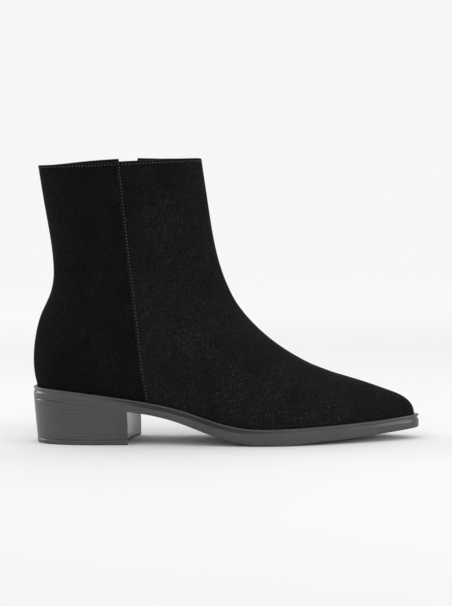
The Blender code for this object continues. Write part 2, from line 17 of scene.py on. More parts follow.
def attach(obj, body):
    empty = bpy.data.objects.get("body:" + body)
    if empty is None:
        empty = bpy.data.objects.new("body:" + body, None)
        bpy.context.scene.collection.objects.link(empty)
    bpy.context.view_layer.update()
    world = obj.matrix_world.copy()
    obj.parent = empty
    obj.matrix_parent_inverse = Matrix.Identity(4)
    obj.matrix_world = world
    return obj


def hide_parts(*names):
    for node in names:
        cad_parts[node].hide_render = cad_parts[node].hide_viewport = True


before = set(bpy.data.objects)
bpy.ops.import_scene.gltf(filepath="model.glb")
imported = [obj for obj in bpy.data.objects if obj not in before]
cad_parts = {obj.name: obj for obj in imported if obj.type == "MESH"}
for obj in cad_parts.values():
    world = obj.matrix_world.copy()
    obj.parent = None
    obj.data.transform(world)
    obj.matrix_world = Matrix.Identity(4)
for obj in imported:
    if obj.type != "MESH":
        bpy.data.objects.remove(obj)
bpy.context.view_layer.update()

bl_info = {
    "name": "Suede ankle boot",
    "version": (1, 0, 0),
    "blender": (4, 5, 0),
    "location": "View3D > Sidebar > Boot",
    "description": "Builds the panels, zip, sole and studio of a suede ankle boot",
    "category": "Object",
}

MM = 0.001
WAVE_LENGTH = 0.314  # of a Wave texture at a scale of 1

# A zone is a start and a length in millimetres, over which a smooth step goes from 0 to 1.

# Sole
HEEL_RIM = 0.83  # how far the rim stands out at the back of the heel, as a share of that elsewhere
HEEL_RIM_REACH = 45.0  # over this length from the back
BED_DEPTH = 1.5  # the upper sits this deep inside the rim
RING_POINTS = 121  # along each side of a ring round the sole
COVE_LIGHT = 0.3  # a cove shallower than this gets no painted shade
BREAST_X = 71.0  # front face of the heel
TREAD_ZONE = (BREAST_X, 12.0)  # ahead of the heel, where the tread's edge gets its rounding
BACK_ZONE = (10.0, 30.0)  # over the back of the heel, where the edge loses its rounding
BACK_ROUNDING = 0.25  # rounding there, as a share
LIFT_HEIGHT = 3.4
LIFT_GAP = 0.1  # between top lift and heel
HEEL_OUT = 2.85  # how far the heel stands out from the foot of the upper
HEEL_POINTS = 61  # along each side of a ring of the heel
BREAST_POINTS = 15  # across its breast, corners included
BREAST_HOLLOW = 3.6  # the breast is drawn back by this much in its middle
HEEL_TAPER_BACK = 0.974  # length of the heel's foot over the length of its head
HEEL_TAPER_SIDE = 0.955
HEEL_MIDDLE = np.array((34.0, 0.0))  # rings of the heel are drawn in towards it
HEEL_GROOVE_ZONE = (12.0, 30.0)  # where the groove over the heel fades out forward
HEEL_SHADE_ZONE = (8.0, 26.0)  # where the shade painted in that groove fades out
HEEL_SHADE_RINGS = 4  # rings that carry that painted shade

# Upper
SIDES = {-1: "lateral", 1: "medial"}
GAP = 0.3  # between the hem and the sole's bed
WALL = 2.2  # suede and lining together
LINING_GAP = 0.25  # between wall and lining
LINING_TOP = 2.0  # row where the lining starts, inside the collar's fold
LINING_CLEAR = 5.0  # the lining keeps this far from the slit's edges
COLLAR_FRONT = (123.2, 199.4)
COLLAR_BACK = (5.4, 195.2)
COLLAR_RISE = 3.0  # the collar is higher on the inner side
COLLAR_RADIUS = 175.0  # from the fan's point to the middle of the collar
COLLAR_ROWS = np.array((0.0, 0.2, 0.4, 0.6, 0.8, 1.0, 1.25, 1.5, 1.75, 2.0, 2.5, 3.0))  # row numbers by the collar
COLLAR_INSIDE = np.array((2.0, 5.0))  # how far down the fold reaches inside the boot, row by row
THIN_FOLD = 0.05  # the fold is at least this thick
MIDDLE = np.array((135.1745, -2.7977, 0.0))  # of the boot's plan, which the origin lies under
FAN_X = 245.0  # the sections of the upper fan out from a point ahead of the instep
SIDE_BULGE = 0.015  # the sides stand out over the foot of the upper by this share
HEM_SHARE = 0.587  # least share of a section's half oval that lies above the hem
TUCK_REACH = 34.0  # over this length a section goes over to the foot's width
RIDGE_WIDTH = 8.0  # narrower sections move their instep line less
SHEET = 0.3  # thickness of a panel behind its face
SPREAD_ANGLE = 0.35  # past the heel seat, over which the columns close up to the hem
LEAN_TURN = 0.48  # past this turn the rows lie on rays of the fan
TOE_CROWDING = 1.1  # rows come closer towards the toe as a sine does up to this angle
TURN_LENGTH = 75.0  # usual length of a whole turn, for small steps
CUP_GROWTH = {-1: 0.12, 1: 0.26}  # level sections of the heel cup grow wider by this share
CUP_GROWTH_X, CUP_GROWTH_Z = (20.0, 50.0), (30.0, 22.0)  # zones where they grow
CUP_END_X, CUP_END_Z = (26.0, 34.0), (60.0, 34.0)  # zones where the cup goes over to the fan's sections
EDGE_RADIUS = 0.45  # rounding of a cut edge
EDGE_STEPS = 4  # columns of a cut edge
EDGE_SPOTS = np.array((0.0, 0.4, 0.8, 1.15, 1.5, 1.85, 2.2, 2.7, 3.4, 3.9, 4.3, 4.7, 5.4, 7.0, 9.0))
PLAIN = 9.0  # mark of suede away from a cut edge
VAMP_CUT, QUARTER_CUT, QUARTER_HEM_CUT, GUSSET_CUT = 1.9, 1.4, 0.75, 0.9  # depths of cut edges
SEAM_SINK = 0.1  # the vamp's cut edge goes this far into the rear quarter
SHAFT_ZONE = (70.0, 60.0)  # heights where the vamp's painted light and its denser fibre tips fade out up the shaft
SHAFT_PAINTED_LIGHT_AND_TIPS_LOSS = 0.5  # share of that painted light and of those tips that the shaft loses
GUSSET_PAINTED_LIGHT_AND_TIPS = 0.3  # share of the vamp's painted light and denser fibre tips on the panel under the zip
GUSSET_ANGLE = math.radians(224.8)  # edge of the rear quarter over the panel under the zip
GUSSET_INSET = 1.4  # depth of that panel under the vamp's face
UNDERLAP = 3.0  # of a panel that runs on under its neighbour

# Stitching
STITCH_TOP = 197.6  # height where the rows on seam and zip end, under the collar's fold
STITCH_START = 4.0  # and the same along the zip, behind it
GUSSET_STITCHES = ((90.5, 51.0), (73.5, 33.2))  # side view ends of the row over the panel under the zip
RIM_CLEAR = 0.4  # rows end this far over the sole's rim
EDGE_TURN, LAP_TURN = 0.012, 0.004  # the collar's row keeps these turns from a cut edge and from the vamp's lap

# Zip
ZIP_TOP = 200.0  # height that lengths along the zip are counted from
SLIT_ABOVE = 13.0  # the slit's front edge is drawn from this far above that
SLIT_HALF = 3.7
SLIT_FLARE = 3.8  # the slit opens by this much more on each side at the collar
FLARE_LENGTH = 45.0
ZIP_FOOT = 171.0  # length of the slit from the collar
SLIT_END = 7.0  # over this length the slit's rear edge swings over to its front edge
SLIT_FRONT_END = 4.0  # this far above its foot the front edge goes over to the vamp's edge
TAPE_TOP, TAPE_OVER = 2.0, 5.0  # the tapes start below the collar and end past the slit's foot
TAPE_WIDTH = 4.5
TAPE_THICKNESS = 0.6
TAPE_DEPTH = 2.7  # under the outer face of the suede
TAPE_GAP = 0.02  # half of the gap between the tapes
TAPE_PARTED = 3.6  # half of the gap at their top
TAPE_ZONE = (TAPE_TOP, 8.0)  # where they close
TEETH_ABOVE, TEETH_SHORT = 2.0, 4.6  # the teeth start above the pin and stop short of the slit's foot
TOOTH_START, TOOTH_WIDTH, TOOTH_SLANT = -0.35, 3.2, 1.3  # across from the zip's middle, and down the zip
TOOTH_DEPTH, TOOTH_BEND = 1.35, 0.55  # under the suede, and how much deeper its ends lie
CORD_ABOVE, CORD_SHORT = 3.0, 3.0  # the same for their cords
CORD_OUT, CORD_DEPTH, CORD_RADIUS = 1.55, 2.15, 0.6
PIVOT_DISTANCE = 12.0  # from the collar down to the pull tab's pin
PIVOT_HEIGHT = 2.15  # pin above the suede

# Slider and pull tab, across, down and out from the pin
BODY_OUT, RAIL_OUT = -1.88, -2.9  # middles of the slider's body and rails
RAIL_HALF, RAIL_THICK = 0.75, 1.0
BRIDGE_RADIUS, BRIDGE_OUT, BRIDGE_OVER = 2.35, -1.45, 0.15  # the last is an angle past the half circle
BRIDGE_HALF, BRIDGE_THICK = 0.95, 0.36
BAR_POINTS = 16  # round a bar
PULL_START, PULL_ROUND, PULL_END = 3.2, 19.4, 20.6  # start of the plate, start of its round end, and its tip
PULL_CORNER, PULL_FLAT = 1.2, 0.75  # radius of the end's corners, and half of what is flat between them
PULL_FACE, PULL_UNDER = 0.22, -0.3  # upper and lower face of the plate
PULL_RIM_WIDTH, PULL_RIM_SLOPE = 1.25, 0.45
PULL_RIM_RISE, PULL_EDGE_FALL, PULL_STUD_RISE, PULL_UNDER_RISE = 0.36, 0.3, 0.3, 0.2
STUDS, STUD_RADIUS = (7.6, 10.3, 13.0), 0.62
EYE_HALF, EYE_LENGTH, EYE_DOWN, EYE_THICK = 3.35, 2.25, 1.9, 0.52
EYE_POINTS = 48  # along the eye
BAR_BLACK, FACE_BLACK = 0.9, 0.95  # how black the metal is away from the highlights painted on its rims
RIM_BLACK, SHOULDER_BLACK = 0.72, 0.8  # and under those painted highlights, on the rims and on the slider's shoulders

# Stage, in metres, watts and degrees
BOWL_FLOOR, BOWL_TURN = 2.6, 1.4  # radius of the flat floor, and of the turn up
AIM = (0.0, 0.0, 0.08)
CAMERA_FAR, CAMERA_HEIGHT = 1.266, 0.167
CAMERA_YAW, CAMERA_ROLL = 7.004, -1.357
CAMERA_RIGHT, CAMERA_DOWN = 0.0028, 0.0557  # slopes of its view
SENSOR_WIDTH = 36.0


def table(columns, rows):
    """Rows of numbers as named columns."""
    return dict(zip(columns.split(), np.array(rows, float).T))


# Foot of the upper in plan: half widths on the outer and the inner side
PLAN = table("x lateral medial", [
    (1.5, 0.0, 0.0), (3.4, 10.2, 10.2), (9.0, 16.9, 16.8), (19.6, 23.0, 22.8), (34.0, 26.9, 26.2),
    (54.0, 28.4, 26.6), (78.0, 29.0, 24.2), (102.0, 31.6, 22.4), (126.0, 36.2, 24.6), (150.0, 40.2, 30.2),
    (170.0, 41.2, 34.6), (186.0, 39.8, 35.6), (204.0, 35.6, 33.2), (222.0, 29.2, 27.6), (240.0, 21.2, 20.4),
    (254.0, 13.9, 13.5), (263.0, 8.4, 8.2), (267.9, 3.9, 3.8), (269.2, 0.0, 0.0),
])

# Along the sole: heights of its rim and tread, and how deep the cove under its rim is, as a share
SOLE = table("x rim_top bottom", [
    (0.0, 40.1, 32.2), (18.0, 38.9, 30.9), (35.0, 37.1, 28.9), (52.0, 34.9, 26.5), (69.0, 32.3, 23.8),
    (86.0, 29.5, 21.0), (103.0, 26.0, 17.0), (120.0, 21.0, 11.2), (137.0, 15.7, 5.4), (154.0, 12.3, 1.6),
    (166.0, 11.6, 0.1), (178.0, 11.6, -0.3), (200.0, 12.3, 1.5), (222.0, 13.3, 2.9), (245.0, 14.6, 5.0),
    (271.3, 16.9, 7.5),
])
COVE = table("x share", [
    (0.0, 1.0), (6.0, 0.7), (25.0, 0.25), (50.0, 0.4), (75.0, 1.3), (90.0, 1.6), (140.0, 1.6), (165.0, 0.9),
    (190.0, 0.35), (242.0, 0.15), (258.0, 0.5), (271.0, 1.0),
])

# Side of the sole from the bed down, as heights from the rim: how far out, and how much the cove takes off
SOLE_SIDE = table("out height cove", [
    (0.3, -1.4, 0.0), (0.34, -0.35, 0.0), (0.5, -0.08, 0.0), (0.85, 0.0, 0.0), (2.2, 0.02, 0.0), (2.6, -0.12, 0.0),
    (2.83, -0.38, 0.0), (2.9, -0.75, 0.0), (2.9, -1.1, 0.08), (2.9, -1.4, 0.3), (2.9, -1.65, 0.62),
    (2.9, -2.0, 0.86), (2.9, -2.45, 0.95), (2.9, -2.9, 0.86), (2.9, -3.25, 0.55), (2.9, -3.55, 0.2),
    (2.9, -3.9, 0.0),
])
# Edge of the tread, as heights from the tread
SOLE_FOOT = table("out height", [(2.85, 1.5), (2.75, 0.85), (2.45, 0.35), (2.0, 0.08), (1.5, 0.0)])
# Heel from its head to its foot: share of the way down, how far it is drawn in, and how deep its back groove is
HEEL_SIDE = table("share inset groove", [
    (0.0, 0.15, 0.35), (0.008, 0.0, 0.35), (0.018, 0.0, 0.08), (0.035, 0.0, 0.0), (0.1, 0.0, 0.0), (0.25, 0.0, 0.0),
    (0.4, 0.0, 0.0), (0.55, 0.0, 0.0), (0.7, 0.0, 0.0), (0.85, 0.0, 0.0), (0.96, 0.0, 0.0), (0.985, 0.0, 0.0),
    (1.0, 0.25, 0.0),
])
LIFT_SIDE = table("height inset", [
    (3.4, 0.25), (3.15, 0.02), (2.6, 0.0), (0.9, 0.05), (0.35, 0.25), (0.0, 0.8),
])

# Side view of the upper: instep line from above the collar to the toe, and back line down to the heel seat
FRONT_LINE = np.array((
    (122.1, 209.0), (123.2, 199.4), (127.0, 168.0), (131.2, 138.0), (138.4, 111.6), (150.6, 89.6), (174.0, 66.5),
    (207.0, 48.4), (234.0, 39.7), (251.2, 33.6), (262.7, 28.2), (267.7, 22.6),
))
BACK_LINE = np.array((
    (5.0, 205.0), (6.2, 195.2), (9.9, 168.0), (13.6, 143.0), (14.9, 121.0), (12.2, 105.6), (5.4, 91.4), (1.1, 77.2),
    (-1.0, 62.0), (-0.6, 49.0),
))

# Half widths of the upper's sections, by the angle of the section about the fan's point. ridge moves the instep
# line to the inner side. blunt is a power: below 1, the back of the section is blunter than an oval.
GIRTH = table("degrees lateral medial ridge blunt", [
    (176.0, 28.5, 28.5, 0.0, 0.86), (183.0, 28.0, 28.0, 0.0, 0.86), (192.0, 27.0, 27.0, 0.5, 0.84),
    (202.0, 27.8, 27.6, 1.0, 0.81), (210.0, 30.0, 29.6, 1.5, 0.785), (218.0, 31.2, 30.4, 2.0, 0.775),
    (226.0, 32.4, 30.2, 2.5, 0.72), (234.0, 34.4, 29.0, 3.5, 0.70), (242.0, 34.0, 27.0, 4.0, 0.70),
    (252.0, 24.0, 20.0, 3.5, 0.70), (264.0, 0.0, 0.0, 2.0, 0.70), (282.0, -30.0, -30.0, 0.0, 0.70),
])

# How far the fold of the collar starts below the section's end, from the front to the back, as an angle of the fan
COLLAR_DROP = table("turn lateral medial", [
    (0.0, 0.0146, 0.0146), (0.35, 0.0098, 0.0107), (0.5, 0.0069, 0.0030), (0.75, 0.0008, 0.0018),
    (1.0, -0.003, -0.003),
])

# Side view of the zip from above the collar, of the outer side's seam, and of the vamp's edge under the zip
ZIP_LINE = np.array((
    (66.2, 214.0), (66.6, 200.0), (67.7, 183.0), (70.3, 164.0), (76.0, 128.0), (84.2, 90.5), (90.8, 72.5),
    (98.0, 56.0), (106.7, 37.5), (111.3, 28.0),
))
LATERAL_SEAM = np.array((
    (66.8, 214.0), (68.0, 194.0), (70.1, 163.0), (75.2, 111.0), (78.8, 74.0), (83.3, 34.2), (86.0, 15.0),
))
VAMP_EDGE = np.array(((113.5, 37.0), (120.3, 30.0), (132.4, 16.0), (138.4, 8.0)))

# Soft creases of the worn-in shape: ends in the side view, half width and depth
CREASES = (
    (146.0, 95.0, 112.0, 104.0, 7.0, 0.7),
    (152.0, 84.0, 120.0, 82.0, 9.0, 0.5),
    (16.0, 118.0, 48.0, 112.0, 9.0, 0.6),
    (198.0, 50.0, 172.0, 34.0, 8.0, 0.45),
    (214.0, 44.0, 196.0, 30.0, 6.0, 0.3),
)

# A zip tooth from the zip's middle outwards, and the slider's body from its shoulders down: half sizes
TOOTH = table("share thick", [(0.0, 0.0), (0.05, 0.32), (0.35, 0.4), (0.65, 0.4), (0.95, 0.32), (1.0, 0.0)])
SLIDER = table("down half thick", [
    (-6.0, 4.6, 0.25), (-5.85, 5.3, 0.45), (-5.4, 5.75, 0.58), (-4.5, 5.9, 0.62), (-3.0, 5.8, 0.62),
    (-1.0, 5.6, 0.62), (1.0, 5.3, 0.62), (3.0, 5.0, 0.62), (4.8, 4.7, 0.6), (5.6, 4.4, 0.55), (5.9, 4.0, 0.42),
    (6.0, 3.4, 0.25),
])
PULL_SIDE = table("down half", [(3.2, 4.1), (4.4, 4.05), (17.8, 2.25), (19.4, 1.95)])

SOFTBOXES = (  # name, place, size, power and spread
    ("softbox_top", (0.0, 0.1, 1.7), (1.6, 1.2), 2.0, 180.0),
    ("softbox_toe", (1.9, -0.75, 0.55), (0.7, 0.7), 1.2, 50.0),
    ("softbox_heel", (-1.9, 0.45, 0.6), (0.7, 0.9), 1.2, 50.0),
)


# ---------------------------------------------------------------------------------------------------------------
# Lines and faces of the boot


def spline(at, knots, values):
    """Natural cubic through the knots, read at any number of places."""
    at = np.asarray(at, float)
    step = np.diff(knots)
    slope = np.diff(values) / step
    size = len(knots)
    matrix = np.eye(size)
    right = np.zeros(size)
    inner = np.arange(1, size - 1)
    matrix[inner, inner - 1] = step[:-1]
    matrix[inner, inner] = 2 * (step[:-1] + step[1:])
    matrix[inner, inner + 1] = step[1:]
    right[inner] = 6 * np.diff(slope)
    bend = np.linalg.solve(matrix, right)
    i = np.clip(np.searchsorted(knots, at) - 1, 0, size - 2)
    b = (at - knots[i]) / step[i]
    a = 1 - b
    round_off = (a**3 - a) * bend[i] + (b**3 - b) * bend[i + 1]
    return a * values[i] + b * values[i + 1] + round_off * step[i] ** 2 / 6


def unit(vectors):
    """Vectors over their own lengths."""
    return vectors / (np.linalg.norm(vectors, axis=-1, keepdims=True) + 1e-12)


def lengths(points, axis=0):
    """Running length along a polyline, or down the columns or along the rows of a grid of points."""
    steps = np.linalg.norm(np.diff(points, axis=axis), axis=-1).cumsum(axis=axis)
    return np.concatenate((np.zeros_like(steps.take((0,), axis=axis)), steps), axis=axis)


def curve(points, count):
    """Smooth line through points, as count points evenly spaced in the points' own chord length."""
    points = np.asarray(points, float)
    run = lengths(points)
    at = np.linspace(0.0, run[-1], count)
    return np.column_stack([spline(at, run, points[:, k]) for k in range(points.shape[1])])


def along(points, at):
    """Points of a polyline at running lengths."""
    run = lengths(points)
    return np.stack([np.interp(at, run, points[:, k]) for k in range(points.shape[1])], axis=-1)


def moved(line, out):
    """Side view line moved to the left of its own direction."""
    step = unit(np.gradient(line, axis=0))
    return line + out * np.column_stack((-step[:, 1], step[:, 0]))


def ease(t):
    """Smooth step from 0 to 1."""
    t = np.clip(t, 0.0, 1.0)
    return t * t * (3 - 2 * t)


def grow(value, start, length):
    """Smooth step over a zone."""
    return ease((value - start) / length)


def soft_max(a, b):
    """Soft maximum of values from 0 up: the twelfth root of the sum of their twelfth powers."""
    return (a**12 + b**12 + 1e-60) ** (1 / 12)


def rim_top(x):
    """Height of the sole's rim: a cubic through the table, held at its ends."""
    return spline(np.clip(x, SOLE["x"][0], SOLE["x"][-1]), SOLE["x"], SOLE["rim_top"])


def sole_bottom(x):
    """Height of the tread: a cubic through the table, held at its ends and never under the floor."""
    return np.maximum(spline(np.clip(x, SOLE["x"][0], SOLE["x"][-1]), SOLE["x"], SOLE["bottom"]), 0.0)


def bed(x):
    """Height of the sole's bed, a set depth under its rim."""
    return rim_top(x) - BED_DEPTH


def outline(out):
    """Foot of the upper in plan moved out by a distance: outer half and inner half, both from heel to toe."""
    outer = np.column_stack((PLAN["x"], -PLAN["lateral"]))
    inner = np.column_stack((PLAN["x"], PLAN["medial"]))[-2:0:-1]
    loop = np.vstack((outer, inner))
    around = np.vstack((loop[-3:], loop, loop[:4]))
    run = lengths(around)
    at = np.linspace(run[3], run[-4], 1201)
    line = np.column_stack((spline(at, run, around[:, 0]), spline(at, run, around[:, 1])))
    step = np.gradient(line, axis=0)
    step[0] = step[-1] = 0.0, -1.0
    step = unit(step)
    if out > 0:
        out = out * (HEEL_RIM + (1 - HEEL_RIM) * ease(line[:, 0] / HEEL_RIM_REACH))[:, None]
    line = line + out * np.column_stack((step[:, 1], -step[:, 0]))
    toe = int(np.argmax(line[:, 0]))
    halves = line[:toe + 1], line[toe:][::-1]
    for half in halves:
        half[:, 0] = np.maximum.accumulate(half[:, 0])
        half[0, 1] = half[-1, 1] = 0.0
    return halves


def ring(out, height, count=RING_POINTS, last=None):
    """Closed ring of points around the outline, heel to toe and back. For the heel it stops at an x, given as last.

    x runs as one minus a cosine, so that the points crowd at the ends.
    """
    outer, inner = outline(out)
    turn = math.pi if last is None else math.pi / 2
    far = outer[-1, 0] if last is None else last
    x = outer[0, 0] + (far - outer[0, 0]) * (1 - np.cos(np.linspace(0.0, turn, count))) / (1 - math.cos(turn))
    back = slice(-2, 0, -1) if last is None else slice(None, 0, -1)
    side = np.interp(x, outer[:, 0], outer[:, 1]), np.interp(x, inner[:, 0], inner[:, 1])
    xs = np.concatenate((x, x[back]))
    ys = np.concatenate((side[0], side[1][back]))
    return np.column_stack((xs, ys, height(xs)))


def fan_point():
    """The collar's section is flat, so the fan's point lies on the line of the collar."""
    slope = (COLLAR_FRONT[1] - COLLAR_BACK[1]) / (COLLAR_FRONT[0] - COLLAR_BACK[0])
    return np.array((FAN_X, COLLAR_FRONT[1] + slope * (FAN_X - COLLAR_FRONT[0])))


FAN = fan_point()


def polar(x, z):
    """Angle and distance of side view points about the fan's point."""
    angle = np.arctan2(z - FAN[1], x - FAN[0]) % (2 * math.pi)
    return angle, np.hypot(x - FAN[0], z - FAN[1])


def from_polar(angle, far):
    """x and z of side view points at angles and distances about the fan's point."""
    return FAN[0] + far * np.cos(angle), FAN[1] + far * np.sin(angle)


class Skin:
    """A face of the upper: its outer face moved in by a distance, ending on a hem over the sole's bed.

    The sections fan out from one point. Each starts on the instep line and ends on the back line or, past the
    heel seat, on the hem. side is -1 for the outer and 1 for the inner half of the boot.
    """

    def __init__(self, inset=0.0, hem=GAP):
        self.inset = inset
        self.feet = dict(zip(SIDES, outline(-inset)))
        heel_x, toe_x = self.feet[-1][(0, -1), 0]
        ends = [np.array((x, bed(x) + hem)) for x in (PLAN["x"][0], heel_x, PLAN["x"][-1], toe_x)]
        self.x = heel_x + (toe_x - heel_x) * (1 - np.cos(np.linspace(0.0, math.pi, 900))) / 2
        self.hem = bed(self.x) + hem
        back = moved(curve(np.vstack((BACK_LINE, ends[0])), 600), inset)
        front = moved(curve(np.vstack((FRONT_LINE, ends[2])), 900), -inset)
        back[-1], front[-1] = ends[1], ends[3]
        self.back = back
        self.starts = polar(*front.T)
        self.ends = polar(*np.vstack((back, np.column_stack((self.x, self.hem))[1:])).T)
        for angles, _ in (self.starts, self.ends):
            angles[:] = np.maximum.accumulate(angles)
        self.heel_angle = float(polar(*ends[1])[0])

    def oval(self, turn, angle):
        """Half width of a section over its widest: the sine of the turn, blunter behind the widest place."""
        power = np.interp(np.degrees(angle), GIRTH["degrees"], GIRTH["blunt"])
        sine = np.maximum(np.sin(turn), 0.0)
        return np.where(turn > math.pi / 2, sine**power, sine)

    def section(self, angle, side):
        """Start and end distance, half width, share of the half oval used, change of width at the hem, ridge.

        The half width is a soft maximum of the table's width and the foot's width with its bulge, so that the
        shaft follows the table and the vamp follows the sole. A section is a whole half oval down to the back
        line. Past the heel seat the oval would reach the back line's continuation, and the hem cuts it short;
        further on the cut stays just past the oval's widest place.
        """
        start = np.interp(angle, *self.starts)
        end = np.interp(angle, *self.ends)
        foot_line = self.feet[side]
        x, _ = from_polar(angle, end)
        foot = np.abs(np.interp(x, foot_line[:, 0], foot_line[:, 1]))
        foot = np.where(angle > self.heel_angle, foot, 0.0)
        degrees = np.degrees(angle)
        wide = np.maximum(spline(degrees, GIRTH["degrees"], GIRTH[SIDES[side]]) - self.inset, 0.0)
        wide = soft_max(wide, foot * (1 + SIDE_BULGE))
        whole = (FAN[0] - foot_line[0, 0]) / np.maximum(-np.cos(angle), 0.05)
        used = np.where(angle > self.heel_angle, (end - start) / (whole - start), 1.0)
        used = np.minimum(soft_max(used, HEM_SHARE), 1.0)
        tuck = foot - wide * self.oval(np.arccos(1 - 2 * used), angle)
        ridge = spline(degrees, GIRTH["degrees"], GIRTH["ridge"]) * np.minimum(wide / RIDGE_WIDTH, 1.0)
        return start, end, wide, used, tuck, ridge

    def across(self, part, angle, side):
        """y of the sections at these angles, at a share of their length from the instep line to their end.

        Half oval: the share of its length is half of one minus the cosine of a turn, and y is the half width
        times the oval's share there. Near the hem y goes over to the half width of the foot.
        """
        start, end, wide, used, tuck, ridge = self.section(angle, side)
        turn = np.arccos(np.clip(1 - 2 * part * used, -1.0, 1.0))
        reach = np.minimum(TUCK_REACH, 0.8 * (end - start)) + 1e-9
        near = ease(1 - (1 - part) * (end - start) / reach)
        return side * (wide * self.oval(turn, angle) + tuck * near) + ridge * (1 - part)

    def point(self, angle, turn, side):
        """Point of the face. turn runs from 0 on the instep line to 1 at the back line or the hem."""
        start, end, _, used, _, _ = self.section(angle, side)
        used = 1 - (1 - used) * grow(angle, self.heel_angle, SPREAD_ANGLE)
        part = (1 - np.cos(turn * np.arccos(1 - 2 * used))) / (2 * used)
        x, z = from_polar(angle, start + (end - start) * part)
        return np.stack((x, self.side_y(x, z, side), z), axis=-1)

    def side_y(self, x, z, side):
        """y of the face at a place in the side view: that of its section, in the heel cup that of a level section.

        A level section is the plan of the foot, moved so that it starts on the back line and growing wider forward.
        """
        angle, far = polar(x, z)
        start, end = np.interp(angle, *self.starts), np.interp(angle, *self.ends)
        y = self.across(np.clip((far - start) / np.maximum(end - start, 1e-9), 0.0, 1.0), angle, side)
        foot = self.feet[side]
        behind = np.interp(-z, -self.back[:, 1], self.back[:, 0])
        wider = 1 + CUP_GROWTH[side] * grow(x, *CUP_GROWTH_X) * grow(z, *CUP_GROWTH_Z)
        level = wider * np.interp(x - behind + foot[0, 0], foot[:, 0], foot[:, 1])
        cup = (1 - grow(x, *CUP_END_X)) * (1 - grow(z, *CUP_END_Z))
        return y + cup * (level - y)


COLLAR_ANGLE = float(polar(*COLLAR_FRONT)[0])
OUTSIDE = Skin()


class Rows:
    """Rows over a face from the collar to the toe, numbered from 0.

    They are spread evenly along the instep line, closer at the toe, and lean over to their own places on the back
    line or the hem. The inner side's collar is higher. Row numbers may be fractions.
    """

    def __init__(self, skin, shaft=66, hem=116):
        self.skin = skin
        at = np.linspace(0, len(skin.x) - 1, hem).astype(int)
        self.ends = np.concatenate((np.linspace(COLLAR_ANGLE, skin.heel_angle, shaft + 1)[:-1],
                                    polar(skin.x[at], skin.hem[at])[0]))
        share = np.sin(np.linspace(0.0, TOE_CROWDING, len(self.ends))) / math.sin(TOE_CROWDING)
        angles, distances = skin.starts
        run = lengths(np.column_stack((distances * np.cos(angles), distances * np.sin(angles))))
        first, final = np.interp((COLLAR_ANGLE, self.ends[-1]), angles, run)
        self.starts = np.interp(first + (final - first) * share, run, angles)
        self.heel = shaft
        self.last = len(self.ends) - 1

    def point(self, row, turn, side):
        """Point of the face at a row and a turn."""
        number = np.arange(self.last + 1)
        start, end = np.interp(row, number, self.starts), np.interp(row, number, self.ends)
        angle = end + (start - end) * ease(1 - turn / LEAN_TURN)
        high = np.clip((self.skin.heel_angle - angle) / (self.skin.heel_angle - COLLAR_ANGLE), 0.0, 2.0) ** 3
        lift = -np.interp(turn, COLLAR_DROP["turn"], COLLAR_DROP[SIDES[side]])
        if side > 0:
            lift = lift + COLLAR_RISE / COLLAR_RADIUS * np.sin(math.pi * turn) ** 2
        return self.skin.point(angle - high * lift, turn, side)

    def normal(self, row, turn, side):
        """Outward direction: the cross product of the steps along the column and along the row."""
        by_turn = (self.point(row, np.clip(turn + 0.004, 0, 1), side)
                   - self.point(row, np.clip(turn - 0.004, 0, 1), side))
        by_row = (self.point(np.clip(row + 0.2, 0, self.last), turn, side)
                  - self.point(np.clip(row - 0.2, 0, self.last), turn, side))
        return unit(side * np.cross(by_row, by_turn))

    def row_of(self, angle):
        """Row that ends at an angle of the fan."""
        return float(np.interp(angle, self.ends, np.arange(self.last + 1)))


def side_normal(x, z, side):
    """Outward direction of the upper's face at a place in the side view."""
    d = 0.5
    by_x = (OUTSIDE.side_y(x + d, z, side) - OUTSIDE.side_y(x - d, z, side)) / (2 * d)
    by_z = (OUTSIDE.side_y(x, z + d, side) - OUTSIDE.side_y(x, z - d, side)) / (2 * d)
    return unit(side * np.stack((-by_x, np.ones_like(by_x), -by_z), axis=-1))


def laid(line, side, depth=0.0):
    """Side view points laid on the upper, depth measured square to its face, and the outward directions there."""
    line = np.asarray(line, float)
    x, z = line[..., 0], line[..., 1]
    outward = side_normal(x, z, side)
    points = np.stack((x, OUTSIDE.side_y(x, z, side), z), axis=-1)
    return points - np.asarray(depth, float)[..., None] * outward, outward


ZIP = curve(ZIP_LINE, 900)
ZIP_RUN = lengths(ZIP) - np.interp(-ZIP_TOP, -ZIP[:, 1], lengths(ZIP))


def zip_at(distance):
    """Side view points of the zip's middle at distances below the collar, and unit steps across, to the front."""
    distance = np.asarray(distance, float)
    here = np.stack([np.interp(distance, ZIP_RUN, ZIP[:, k]) for k in range(2)], axis=-1)
    ahead = np.stack([np.interp(distance + 0.5, ZIP_RUN, ZIP[:, k]) for k in range(2)], axis=-1)
    step = unit(ahead - here)
    return here, np.stack((-step[..., 1], step[..., 0]), axis=-1)


def slit_half(distance):
    """Half width of the slit: even, and wider by a smooth step towards the collar."""
    return SLIT_HALF + SLIT_FLARE * (1 - ease(np.asarray(distance) / FLARE_LENGTH))


def slit_rear(distance):
    """Rear edge of the slit as a step across from its middle: it swings over to the front edge at the foot."""
    swing = np.clip((np.asarray(distance) - ZIP_FOOT + SLIT_END) / SLIT_END, 0.0, 1.0)
    return slit_half(distance) * (2 * swing**2 - 1)


def slit_front():
    """Side view line of the slit's front edge, which goes on as the vamp's edge to the sole."""
    run = np.linspace(-SLIT_ABOVE, ZIP_FOOT - SLIT_FRONT_END, 120)
    middle, across = zip_at(run)
    return np.vstack((middle + slit_half(run)[:, None] * across, curve(VAMP_EDGE, 24)))


SLIT_FRONT = slit_front()
SEAM = curve(LATERAL_SEAM, 120)


def ahead_of(line, x, z):
    """How far places in the side view lie in front of a line that runs down the boot."""
    return x - np.interp(-z, -line[:, 1], line[:, 0])


